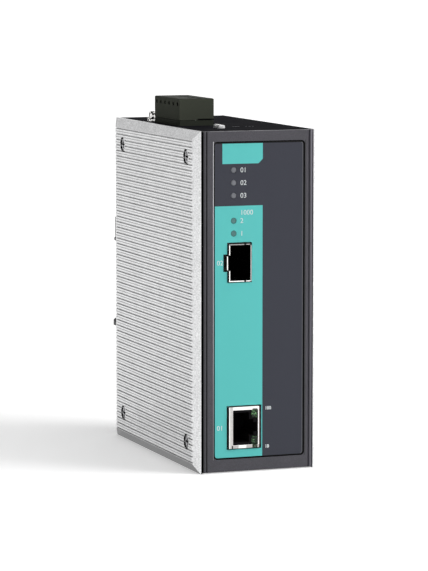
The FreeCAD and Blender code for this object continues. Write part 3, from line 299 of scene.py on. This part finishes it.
def drawn_metal(name, colour, roughness, grain, along, depth):
    """Metal with fine streaks of that grain, drawn out along an axis by drawing, brushing or rolling."""
    material, shader, place = finish(name, Metallic=1.0)
    streaks = place.noise(place, grain, 3.0, along)
    clouds = place.noise(place, grain * 60, 2.0)
    light = [min(1.0, c * 1.06) for c in colour] + [1.0]
    dark = [c * 0.9 for c in colour] + [1.0]
    feed(shader, Base_Color=(streaks * 0.6 + clouds * 0.4).blend(dark, light),
         Roughness=(streaks - 0.5) * 0.12 + (clouds - 0.5) * 0.06 + roughness,
         Normal=place.bump(streaks, depth))
    return material


dress(panel_screw_zinc(), "left_panel_screws", "right_panel_screws")
dress(drawn_metal("screw_metal", [0.5, 0.5, 0.51], 0.3, 0.00025, (1, 1, 1), 0.000008),
      "board_screws", "din_plate_screws")


# ---------------------------------------------------------------------------------------- Front cover
# A cast front with rounded sides, an upright groove by each edge and a shallow recess for the label. Its
# lip slides into the folded sheet. It has a dark grey coat with a fine, slightly sparkling texture.

def cover_coat():
    """Textured coat. Painted shade makes the recess and the outermost part of the left side black, set as
    black metal.

    A painted highlight runs along the recess's left rim, brighter towards the top, and painted shade along
    its right rim. Painted shade darkens the left groove and rounded side, and painted light brightens the
    right ones."""
    material, shader, place = finish("cover_coat", Specular_IOR_Level=0.45)
    x, y, z = axes(place)
    low, high = box_mm("front_cover")
    label_low, label_high = box_mm("front_overlay")
    gap = 0.35                             # from the label to the recess's wall
    groove_middle, groove_half = high.x - 1.43, 0.42
    left_wall, right_wall = label_low.x - gap, label_high.x + gap

    left_side, right_side = x.step(1.0, -1.0), x.step(-1.0, 1.0)
    beside_label = z.between(label_low.z - gap, label_high.z + gap, 0.1)
    # Painted shade: black in the label's recess and on the outermost part of the left side.
    recess = x.between(left_wall, right_wall, 0.1) * beside_label * y.step(low.y + 0.12, low.y + 0.2)
    painted_black_shade = (recess + left_side * abs(x).step(high.x - 0.5, high.x - 0.34)).step(0.0, 1.0)
    # Painted highlight along the recess's left rim; painted shade along its right rim.
    right_rim = x.step(right_wall - 0.04, right_wall + 0.02) * x.step(right_wall + 0.55, right_wall + 0.3)
    left_rim = x.step(left_wall - 0.32, left_wall - 0.26) * x.step(left_wall + 0.02, left_wall - 0.06)
    painted_highlight = left_rim * z.step(label_low.z - 40.0, label_low.z + 100.0) * beside_label
    painted_groove_shading = (abs(abs(x) - groove_middle).step(groove_half + 0.04, groove_half - 0.04)
                 * y.step(low.y + 0.1, low.y + 0.2))
    painted_rounding_shading = abs(x).step(high.x - 1.3, high.x - 0.5)

    grains = place.noise(place, 0.00028, 3.0)
    clouds = place.noise(place, 0.011, 2.0)
    # Painted shade on the left groove and rounded side and by the recess's right rim; painted light on the
    # right groove and rounded side.
    thin = left_side * (painted_groove_shading * 0.5 + painted_rounding_shading * 0.25) + right_rim * beside_label * 0.35
    shade = ((grains - 0.5) * 0.6 + (clouds - 0.5) * 0.2 + 0.5 + right_side * (painted_groove_shading + painted_rounding_shading * 0.9)
             - thin) * (1 - painted_black_shade)
    feed(shader, Base_Color=painted_highlight.blend(shade.blend(tone(3, 3, 4), tone(86, 84, 93)), tone(214, 214, 218)),
         Metallic=painted_black_shade, Roughness=(clouds - 0.5) * 0.15 + 0.46, Normal=place.bump(grains, 0.000022))
    return material


dress(cover_coat(), "front_cover")
soften(0.00014, "front_cover")


# --------------------------------------------------------------------------------------------- Label
# Polyester film printed from behind, so the print is even and the face is satin. A slate ground carries
# a teal band down the port side and a teal tab with one cut corner at the top. Its back is glued on.

def label_print():
    """Slate with a teal band and tab. Painted shade makes it black round the jack's and the cage's holes and
    along the border, widest at the top, and a faint painted highlight lightens it by the right edge.
    """
    material, shader, place = finish("label_print", Specular_IOR_Level=0.15)
    x, y, z = axes(place)
    low, high = box_mm("front_overlay")
    blur = 0.06
    band_right, band_top = low.x + 20.15, low.z + 99.75
    tab_left, tab_right, tab_low, tab_top = low.x + 3.41, low.x + 20.2, high.z - 8.39, high.z - 0.45
    tab_cut = tab_right - tab_low - 1.74   # x - z along the cut across the tab's lower right corner
    corner, shadow_border, highlight_inset = 1.3, 0.25, 0.6

    def patch(left, right, under, over):
        """1 from left to right and from under to over."""
        return x.between(left, right, blur) * z.between(under, over, blur)

    band = x.step(band_right + blur, band_right) * z.step(band_top + blur, band_top)
    tab = patch(tab_left, tab_right, tab_low, tab_top) * (x - z).step(tab_cut + blur, tab_cut)
    jack_low, jack_high = box_mm("rj45_shield")
    cage_low, cage_high = box_mm("sfp_cage")
    cage_middle = (cage_low.z + cage_high.z) / 2
    mouth_left, tongue_half = cage_low.x + 1.1, 3.1    # the cage's latch tongue lies left of its mouth
    # Painted shade: black round the jack and the cage, wider on their left and top.
    opening_shadows = (patch(jack_low.x - 0.75, jack_high.x + 0.1, jack_low.z - 0.3, jack_high.z + 0.45)
                + patch(mouth_left - 0.8, cage_high.x + 0.1, cage_low.z - 0.3, cage_high.z + 0.6)
                + patch(cage_low.x - 1.3, mouth_left, cage_middle - tongue_half - 0.3,
                        cage_middle + tongue_half + 0.3))
    across = abs(x - (low.x + high.x) / 2) - ((high.x - low.x) / 2 - corner)
    upward = abs(z - (low.z + high.z) / 2) - ((high.z - low.z) / 2 - corner)
    to_edge = corner - reach(across.at_least(0.0), upward.at_least(0.0))
    # Painted shade along the film's border, and darker along its top.
    black = (opening_shadows + to_edge.step(shadow_border + 0.04, shadow_border - 0.04)
             + z.step(high.z - 0.55, high.z - 0.45) * 0.6)
    # Painted highlight: a faint lighter strip by the film's right edge.
    clear = to_edge.step(highlight_inset + 0.04, highlight_inset - 0.04) * x.step(high.x - 1.3, high.x - 1.0)

    ink = place.noise(place, 0.00035, 2.0)
    peel = place.noise(place, 0.004, 2.0)
    ground = (band + tab + (ink - 0.5) * 0.05).blend(tone(63, 64, 73), tone(102, 209, 205))
    edged = (clear * 0.08).blend(ground, [0.9, 0.9, 0.9, 1.0])
    feed(shader, Base_Color=black.step(0.0, 0.7).blend(edged, tone(7, 8, 9)),
         Roughness=(peel - 0.5) * 0.1 + 0.42, Normal=place.bump(ink * 0.3 + peel, 0.000012))
    return material


dress(label_print(), "front_overlay")


# ---------------------------------------------------------------------------------------- Light pipes
# Five short pipes of milky plastic, each put through the cover from behind as far as its collar. Their
# tips are flush with the label. Behind each stands its own lamp, a small resin block on the main board.

def lens_plastic(name, colour):
    """Milky plastic with a faint, uneven haze."""
    material, shader, place = finish(name, Coat_Weight=0.15, Coat_Roughness=0.15)
    haze = place.noise(place, 0.0006, 2.0)
    light = [min(1.0, c * 1.25) for c in colour[:3]] + [1.0]
    feed(shader, Base_Color=haze.blend(colour, light), Roughness=haze * 0.15 + 0.28,
         Normal=place.bump(haze, 0.00001))
    return material


dress(lens_plastic("lens_on_slate", tone(104, 106, 112)), "power_lens_1", "power_lens_2", "fault_lens")
dress(lens_plastic("lens_on_teal", tone(64, 112, 110)), "port_lens_1", "port_lens_2")
dress(lens_plastic("lamp_resin", tone(222, 214, 190)), "status_lamps")


# ---------------------------------------------------------------------------------------------- Print
# White ink, screen printed on the label's film: plain numbers beside the lamps and the ports, and two
# small plain numbers to the right of the jack.

right, above, forward = (1, 0, 0), (0, 0, 1), (0, -1, 0)


def label_ink():
    """Opaque white ink, mottled where it lies thin and thick."""
    material, shader, place = finish("white_ink")
    mottle = place.noise(place, 0.0002, 2.0)
    feed(shader, Base_Color=mottle.blend(tone(214, 222, 224), tone(246, 250, 250)),
         Roughness=mottle * 0.1 + 0.45)
    return material


def printed(name, words, size, middle, across, up, out, material, align="CENTER"):
    """Plain characters as a thin mesh: size metres high, set at middle, spread along across and up.

    The characters are made a mesh first, lying flat. Each of its points (a, b, c) then goes to
    middle + a * across + b * up + c * out."""
    ink_depth = 0.00002
    curve = bpy.data.curves.new(name, "FONT")
    curve.body, curve.size, curve.extrude = words, size, ink_depth
    curve.align_x, curve.align_y = align, "CENTER"
    letters = bpy.data.objects.new(name + "_curve", curve)
    bpy.context.scene.collection.objects.link(letters)
    bpy.context.view_layer.update()
    mesh = bpy.data.meshes.new_from_object(letters)
    bpy.data.objects.remove(letters)
    flat = np.empty(len(mesh.vertices) * 3)
    mesh.vertices.foreach_get("co", flat)
    basis = np.array([across, up, out], float)
    mesh.vertices.foreach_set("co", (flat.reshape(-1, 3) @ basis + np.array(middle)).ravel())
    piece = bpy.data.objects.new(name, mesh)
    bpy.context.scene.collection.objects.link(piece)
    mesh.materials.clear()
    mesh.materials.append(material)
    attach(piece, "unit")
    return piece


def middle_of(name):
    """Middle of a node's box, in metres."""
    low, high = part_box(name)
    return (low + high) / 2


white_ink = label_ink()
film_low, film_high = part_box("front_overlay")


def on_label(name, words, x, z, size=0.0027, align="LEFT"):
    """White characters on the label's face."""
    piece = printed(name, words, size, (x, film_low.y, z), right, above, forward, white_ink, align)
    return piece


beside_lamp, port_number_inset, light_mark_inset = 0.0027, 0.0024, 0.0162
for lens, words in (("power_lens_1", "01"), ("power_lens_2", "02"), ("fault_lens", "03"),
                    ("port_lens_1", "2"), ("port_lens_2", "1")):
    tip = middle_of(lens)
    on_label("number_by_" + lens, words, tip.x + beside_lamp, tip.z - 0.0001)
tip = middle_of("port_lens_1")
on_label("port_rate", "1000", tip.x + beside_lamp, tip.z + 0.0031)
for number, port in enumerate(("rj45_shield", "sfp_cage"), 1):
    on_label("port_number_%d" % number, "0%d" % number, film_low.x + port_number_inset,
             middle_of(port).z, align="CENTER")
for name, words, up in (("upper_light_mark", "100", 0.0192), ("lower_light_mark", "10", 0.0039)):
    mark = on_label(name, words, film_high.x - light_mark_inset, film_low.z + up, size=0.0017)
    spread = mark.modifiers.new("spread_ink", "SOLIDIFY")
    spread.thickness, spread.offset = 0.00012, 1.0


# ------------------------------------------------------------------------------------------ RJ45 jack
# A folded can of tinned steel round a black nylon moulding, with eight gilt springs and two green light
# pipes. It lies on its side and is soldered to the main board.

def jack_tin():
    """Tin with painted shade: darker on the left and lower limbs, and black in two strips on the right one.

    A painted highlight lightens a stretch of the lower limb. Beside the light pipes a painted reflection
    gives the metal their green."""
    material, shader, place = finish("jack_tin", Metallic=1.0)
    x, y, z = axes(place)
    low, high = box_mm("rj45_shield")
    half_height = (high.z - low.z) / 2
    from_middle = abs(z - (low.z + high.z) / 2)
    # Painted shade on the lower and left limbs, lifted by a painted highlight on a stretch of the lower one.
    lower_limb_shade = z.step(low.z + 1.3, low.z + 1.1) * x.step(low.x + 0.9, low.x + 1.3)
    painted_highlight = x.between(low.x + 4.4, low.x + 6.8, 0.8)
    left_limb_shade = x.step(low.x + 1.7, low.x + 1.5) * x.step(low.x + 0.2, low.x + 0.5)
    # Painted shade: two black strips on the right limb.
    right_limb_inner_shade = x.between(high.x - 1.5, high.x - 1.35, 0.1) * z.between(low.z + 1.3, high.z - 1.3, 0.1)
    right_limb_outer_shade = x.step(high.x - 0.75, high.x - 0.65)
    # Painted reflection: the green of the light pipes.
    green_reflection_by_pipes = (x.step(high.x - 3.7, high.x - 3.3) * x.step(high.x - 1.25, high.x - 1.45)
                * from_middle.step(half_height - 1.8, half_height - 1.7)
                * z.step(high.z - 0.75, high.z - 0.9))

    dapple = place.noise(place, 0.0007, 2.0)
    painted_shade = (lower_limb_shade * (1 - painted_highlight) * 0.9 + left_limb_shade * 0.75 + (right_limb_inner_shade + right_limb_outer_shade) * 1.6
            + (dapple - 0.5) * 0.3)
    tin = (painted_shade * 0.62).blend([0.86, 0.84, 0.82, 1.0], [0.02, 0.01, 0.01, 1.0])
    feed(shader, Base_Color=(green_reflection_by_pipes * (dapple * 0.6 + 0.6)).blend(tin, tone(24, 40, 22)),
         Roughness=dapple * 0.15 + 0.3, Normal=place.bump(dapple, 0.000012))
    return material


def pipe_green():
    """Dark green clear plastic with paler swirls, as light catches in it."""
    material, shader, place = finish("pipe_green", Coat_Weight=0.1, Coat_Roughness=0.2,
                                     Specular_IOR_Level=0.2)
    swirl = place.noise(place, 0.0009, 2.0)
    feed(shader, Base_Color=swirl.step(0.48, 0.66).blend(tone(8, 32, 12), tone(104, 156, 100)),
         Roughness=swirl * 0.12 + 0.1)
    return material


dress(jack_tin(), "rj45_shield")
soften(0.00008, "rj45_shield")
dress(coat("black_nylon", tone(9, 8, 10), 0.00025, 0.000008, 0.6, Specular_IOR_Level=0.06),
      "rj45_insert", "sfp_connector", "board_link", "dip_stand", "isolation_magnetics")
dress(drawn_metal("contact_gilt", [0.87, 0.66, 0.3], 0.22, 0.0002, (1, 8, 1), 0.000002), "rj45_contacts")
dress(pipe_green(), "rj45_light_pipes")
soften(0.0001, "rj45_light_pipes")


# --------------------------------------------------------------------------------------- Optical slot
# A folded cage of plated steel that lies on its side, with a latch tongue at the left of its mouth. It
# is pressed into the main board, and its mouth stands a little proud of the cover.

def cage_steel():
    """Plated sheet: bright at the mouth's left, with painted shade along the top, on the right and inside.

    Across the upper and lower limbs, near the right, runs a dark seam."""
    material, shader, place = finish("cage_steel", Metallic=1.0)
    x, y, z = axes(place)
    low, high = box_mm("sfp_cage")
    # Painted shade: darker along the top, on the right limb and inside.
    top = z.step(high.z - 0.6, high.z - 0.4)
    right_limb = x.step(high.x - 0.7, high.x - 0.4)
    seam = x.between(high.x - 2.9, high.x - 2.3, 0.2) * abs(z - (low.z + high.z) / 2).step(6.0, 6.4)
    inside = y.step(low.y + 0.5, low.y + 1.4)
    painted_shade = (top * 0.62 + right_limb * 0.5 + seam + inside * 0.85).step(-0.1, 1.05)
    sheet = place.noise(place, 0.0003, 3.0, (1, 12, 1))
    shade = painted_shade + (sheet - 0.5) * 0.15
    feed(shader, Base_Color=shade.blend([0.93, 0.92, 0.9, 1.0], [0.02, 0.02, 0.02, 1.0]),
         Roughness=(sheet - 0.5) * 0.12 + 0.28, Normal=place.bump(sheet, 0.000004))
    return material


dress(cage_steel(), "sfp_cage")


# ------------------------------------------------------------------------------------------- Terminal
# A six-way plug of olive-black nylon on its header, both moulded with an even fine grain. The pins and
# contacts are of plated brass, the screws and rising clamps of zinc-plated steel.

def plug_marks(place, nylon):
    """The nylon's colour, with painted shade: black down the screwdriver holes and along the right half of
    the slit between plug and header. It is dark on top.
    """
    x, y, z = axes(place)
    low, high = box_mm("terminal_plug")
    screw_low, screw_high = box_mm("clamp_screw_1")
    header_top = box_mm("terminal_header")[1].z
    way, hole_radius = 5.08, 0.8
    from_way = (y - (screw_low.y + screw_high.y) / 2 + way / 2) % way - way / 2
    from_hole = reach(from_way, z - (screw_low.z + screw_high.z) / 2)
    # Painted shade: black in the screwdriver holes and in the right half of the slit.
    holes = from_hole.step(hole_radius + 0.12, hole_radius + 0.02) * x.step(low.x + 0.02, low.x + 0.12)
    slit = (z.step(header_top + 0.75, header_top + 0.6) * y.step(low.y + 0.6, low.y + 0.4)
            * x.step(high.x - 7.2, high.x - 6.6))
    top_edge = z.step(high.z - 0.3, high.z - 0.2)
    return (holes + slit + top_edge * 0.6).blend(nylon, tone(2, 2, 2))


def olive_nylon(name, colour, marks=None):
    """The nylon of the header and of the plug."""
    return coat(name, colour, 0.00018, 0.000008, 0.7, 0.08, marks, Specular_IOR_Level=0.05)


dress(olive_nylon("terminal_nylon", tone(50, 53, 46)), "terminal_header")
dress(olive_nylon("plug_nylon", tone(70, 73, 64), plug_marks), "terminal_plug")
soften(0.0001, "terminal_plug", "terminal_header")
dress(drawn_metal("plated_brass", [0.72, 0.7, 0.66], 0.3, 0.0003, (1, 1, 1), 0.000004),
      "header_pins", "plug_contacts")
dress(drawn_metal("clamp_zinc", [0.30, 0.30, 0.31], 0.32, 0.00025, (1, 1, 1), 0.000005),
      *[kind % way for kind in ("clamp_screw_%d", "wire_clamp_%d") for way in range(1, 7)])


# --------------------------------------------------------------------------------------------- Switch
# A moulded white body with three ivory levers. It stands on a spacer on the small board and comes up
# through the top sheet, where small grey print beside it gives the levers' numbers and the ON side.

def sheet_ink():
    """Grey ink, mottled where it lies thin and thick."""
    material, shader, place = finish("grey_ink")
    feed(shader, Base_Color=place.noise(place, 0.0002, 2.0).blend(tone(88, 88, 92), tone(120, 120, 124)))
    return material


translucent = {"Subsurface_Weight": 0.8, "Subsurface_Radius": (1.0, 1.0, 1.0), "Subsurface_Scale": 0.003}
dress(coat("switch_white", tone(252, 252, 255), 0.0002, 0.000004, 0.4, 0.03, **translucent), "dip_switch")
dress(coat("lever_ivory", tone(244, 242, 236), 0.0002, 0.000004, 0.38, 0.03, **translucent),
      "dip_lever_1", "dip_lever_2", "dip_lever_3")
grey_ink = sheet_ink()
rearward = (0, 1, 0)
case_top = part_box("chassis")[1].z
switch = middle_of("dip_switch")
for name, words, beside, behind in (("switch_on_mark", "ON", 0.0094, 0.0061),
                                    ("switch_numbers_mark", "1 2 3", 0.0149, 0.0056)):
    spot = (switch.x + beside, switch.y + behind, case_top)
    mark = printed(name, words, 0.0018, spot, right, rearward, above, grey_ink)


# ------------------------------------------------------------------------------------- Earthing screw
# A nickel-plated steel screw in the top sheet, with a domed head and a cross recess, on a spring washer
# and a flat one. A thin toothed washer, stamped and twisted, lies on the flat one and bites when tight.

def bright_nickel():
    """Nickel with soft facets from tumbling, and painted dark reflections in places on the sides of the head
    and the washers.
    """
    material, shader, place = finish("nickel", Metallic=1.0)
    x, y, z = axes(place)
    low, high = box_mm("ground_screw")
    from_axis = reach(x - (low.x + high.x) / 2, y - (low.y + high.y) / 2)
    facets = place.noise(place, 0.0009, 1.0)
    # Painted reflection: dark patches on the sides.
    dark_reflections = facets.step(0.54, 0.46) * from_axis.step(2.6, 3.2)
    feed(shader, Base_Color=dark_reflections.blend([0.9, 0.89, 0.87, 1.0], [0.02, 0.02, 0.02, 1.0]),
         Roughness=facets * 0.1 + 0.14, Normal=place.bump(facets, 0.0001))
    return material


def toothed_washer(inner, outer, thick, teeth, twist, middle, floor):
    """Ring whose outer edge stands out and in as a rounded square wave, each tooth tilted up and down.

    The section is a rectangle carried round a circle. The radius of its outer two corners follows
    tanh(4 sin(teeth * angle)), and their height adds twist times cos(teeth * angle)."""
    turn = np.linspace(0, 2 * math.pi, teeth * 16, endpoint=False)
    wave = np.tanh(4 * np.sin(teeth * turn))
    tip = outer - (outer - inner) * 0.22 * (1 - wave)
    tilt = twist * np.cos(teeth * turn)
    level = np.zeros_like(turn)
    radius = np.stack([level + inner, tip, tip, level + inner])
    height = np.stack([level, tilt, tilt + thick, level + thick]) + floor + twist
    ring = np.stack([radius * np.cos(turn) + middle.x, radius * np.sin(turn) + middle.y, height], -1)
    index = np.arange(radius.size).reshape(radius.shape)
    on, up = np.roll(index, -1, 1), np.roll(index, -1, 0)
    quads = np.stack([index, on, np.roll(on, -1, 0), up], -1).reshape(-1, 4)
    mesh = bpy.data.meshes.new("toothed_washer")
    mesh.from_pydata(ring.reshape(-1, 3).tolist(), [], quads.tolist())
    return mesh


nickel = bright_nickel()
dress(nickel, "ground_screw", "ground_washers")
flat_washer = 0.0008                       # the flat washer's thickness
star = bpy.data.objects.new("toothed_washer", toothed_washer(
    inner=0.0031, outer=0.0042, thick=0.0003, teeth=14, twist=0.00018,
    middle=middle_of("ground_washers"), floor=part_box("ground_washers")[0].z + flat_washer))
bpy.context.scene.collection.objects.link(star)
star.data.materials.append(nickel)
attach(star, "unit")


# ------------------------------------------------------------------------------------------ Rail clip
# A steel plate with four formed hooks, black plated and screwed to the rear. A bent wire of spring steel
# lies under the upper hooks and presses on the rail.

dress(coat("clip_plating", tone(26, 26, 28), 0.0006, 0.000008, 0.4, 0.1, Specular_IOR_Level=0.2),
      "din_plate")
soften(0.00012, "din_plate")
dress(drawn_metal("spring_wire", [0.10, 0.10, 0.105], 0.3, 0.0002, (14, 1, 1), 0.000005), "rail_spring")


# --------------------------------------------------------------------------------------------- Boards
# Two boards of glass laminate under green mask, the main one on brass posts. Soldered to them are the
# supply's transformer, choke and capacitors, the relay, and the converter chip with its crystal.

def board_mask():
    """Green mask, lighter where copper tracks run under it, over the weave of the glass."""
    material, shader, place = finish("board_mask", Coat_Weight=0.25, Coat_Roughness=0.2)
    x, y, z = axes(place)
    track_pitch, meander = 1.6, 3.0
    track = (y + place.noise(place, 0.004, 0.0) * meander) % track_pitch
    copper = track.between(0.65, 1.05, 0.1)
    weave = place.noise(place, 0.0002, 1.0)
    feed(shader, Base_Color=copper.blend(tone(14, 70, 34), tone(26, 98, 46)), Roughness=weave * 0.1 + 0.35,
         Normal=place.bump(copper, 0.00003))
    return material


dress(board_mask(), "main_board", "terminal_board")
dress(drawn_metal("standoff_brass", [0.76, 0.6, 0.33], 0.3, 0.0003, (1, 1, 1), 0.000004),
      "board_standoffs")
dress(coat("ferrite_grey", tone(48, 47, 46), 0.0002, 0.00002, 0.6), "power_transformer", "choke")
dress(coat("sleeve_black", tone(22, 22, 30), 0.0005, 0.000006, 0.3), "bulk_capacitors", "converter_chip")
dress(coat("relay_blue", tone(38, 70, 132), 0.0004, 0.000006, 0.35, 0.06), "fault_relay")
dress(drawn_metal("pressed_can", [0.7, 0.7, 0.71], 0.28, 0.0003, (1, 1, 6), 0.000004), "crystal")
dress(drawn_metal("heatsink_black", [0.06, 0.06, 0.065], 0.45, 0.0002, (1, 20, 1), 0.000005),
      "chip_heatsink")


# --------------------------------------------------------------------------------- Floor and backdrop
# A white paper sweep: flat under the unit, curved up behind it and then upright. It shows as white, and
# near the unit it takes the unit's soft shadow.

def paper_sweep(half_width, front, back, cove, top):
    """Surface of a profile carried along X: flat from the front, a quarter circle, then straight up."""
    turn = np.linspace(0, math.pi / 2, 25)
    along = np.concatenate([[front], back + cove * np.sin(turn), [back + cove]])
    high = np.concatenate([[0.0], cove * (1 - np.cos(turn)), [top]])
    across = np.linspace(-half_width, half_width, 9)
    grid = np.stack(np.broadcast_arrays(across[:, None], along[None, :], high[None, :]), -1)
    rows, columns = grid.shape[:2]
    index = np.arange(rows * columns).reshape(rows, columns)
    corners = (index[:-1, :-1], index[1:, :-1], index[1:, 1:], index[:-1, 1:])
    quads = np.stack([c.ravel() for c in corners], -1)
    mesh = bpy.data.meshes.new("paper_sweep")
    mesh.from_pydata(grid.reshape(-1, 3).tolist(), [], quads.tolist())
    mesh.polygons.foreach_set("use_smooth", [True] * len(mesh.polygons))
    return mesh


def rays_of(wire):
    """Three wires, each 1 for its kind of ray: from the camera, reflected, and through glass."""
    camera, glossy, transmission = 0, 3, 6
    return [wire.node("ShaderNodeLightPath", output=kind) for kind in (camera, glossy, transmission)]


def white_paper():
    """Matt paper that glows white for the camera and in reflections, more so far from the unit."""
    material, shader, place = finish("paper", Roughness=0.9, Specular_IOR_Level=0.1, Emission_Strength=1.0)
    from_camera, reflected, through = rays_of(place)
    x, y, z = axes(place)
    away = (abs(x) + abs(y) + z).step(250.0, 1000.0)
    shown = from_camera * (away * 0.5 + 0.45) + (reflected + through).step(0.0, 1.0) * (away * 0.3 + 0.65)
    fibres = place.noise(place, 0.002, 2.0)
    feed(shader, Base_Color=fibres.blend([0.84, 0.84, 0.84, 1.0], [0.86, 0.86, 0.86, 1.0]),
         Emission_Color=shown.blend([0.0, 0.0, 0.0, 1.0], [1.0, 1.0, 1.0, 1.0]))
    return material


sweep = bpy.data.objects.new("paper_sweep", paper_sweep(half_width=6.0, front=-5.0, back=4.0, cove=1.5,
                                                        top=7.0))
bpy.context.scene.collection.objects.link(sweep)
sweep.data.materials.append(white_paper())


# ----------------------------------------------------------------------------------- Light and camera
# Even white surroundings, a large soft lamp at the front right, one overhead and a weak one behind. The
# camera stands to the unit's left and a little above it.

world = bpy.data.worlds.new("studio")
bpy.context.scene.world = world
world.use_nodes = True
surroundings = world.node_tree.nodes["Background"]
surroundings.inputs["Color"].default_value = (1, 1, 1, 1)
from_camera, reflected, through = rays_of(Wire(world.node_tree))
strength = (from_camera + reflected + through).step(0.0, 1.0) * 0.85 + 0.15
world.node_tree.links.new(strength.socket, surroundings.inputs["Strength"])

middle = Vector((0.000648, 0.0, 0.068333))    # what the lamps and the camera are turned to


def set_up(name, data, place):
    """A lamp or camera at place, turned to the unit's middle."""
    stand = bpy.data.objects.new(name, data)
    stand.location = place
    stand.rotation_mode = "QUATERNION"
    stand.rotation_quaternion = (middle - Vector(place)).to_track_quat("-Z", "Y")
    bpy.context.scene.collection.objects.link(stand)
    return stand


def soft_lamp(name, place, size, power):
    """Square area lamp of that size in metres and power in watts."""
    data = bpy.data.lights.new(name, "AREA")
    data.shape, data.size, data.energy = "SQUARE", size, power
    set_up(name, data, place)


soft_lamp("key_lamp", (1.05, -0.72, 0.75), 0.7, 16.0)
soft_lamp("top_lamp", (0.35, -0.25, 1.25), 0.9, 6.0)
soft_lamp("back_lamp", (0.6, 1.1, 0.7), 0.8, 1.8)

azimuth, elevation, distance = math.radians(-19.985), math.radians(6.41), 1.23026
backward = Vector((math.sin(azimuth) * math.cos(elevation), -math.cos(azimuth) * math.cos(elevation),
                   math.sin(elevation)))
camera_data = bpy.data.cameras.new("camera")
camera_data.sensor_width, camera_data.lens = 36.0, 189.27
camera_data.clip_start, camera_data.clip_end = 0.05, 30.0
bpy.context.scene.camera = set_up("camera", camera_data, middle + backward * distance)
bpy.context.scene.view_settings.view_transform = "Standard"
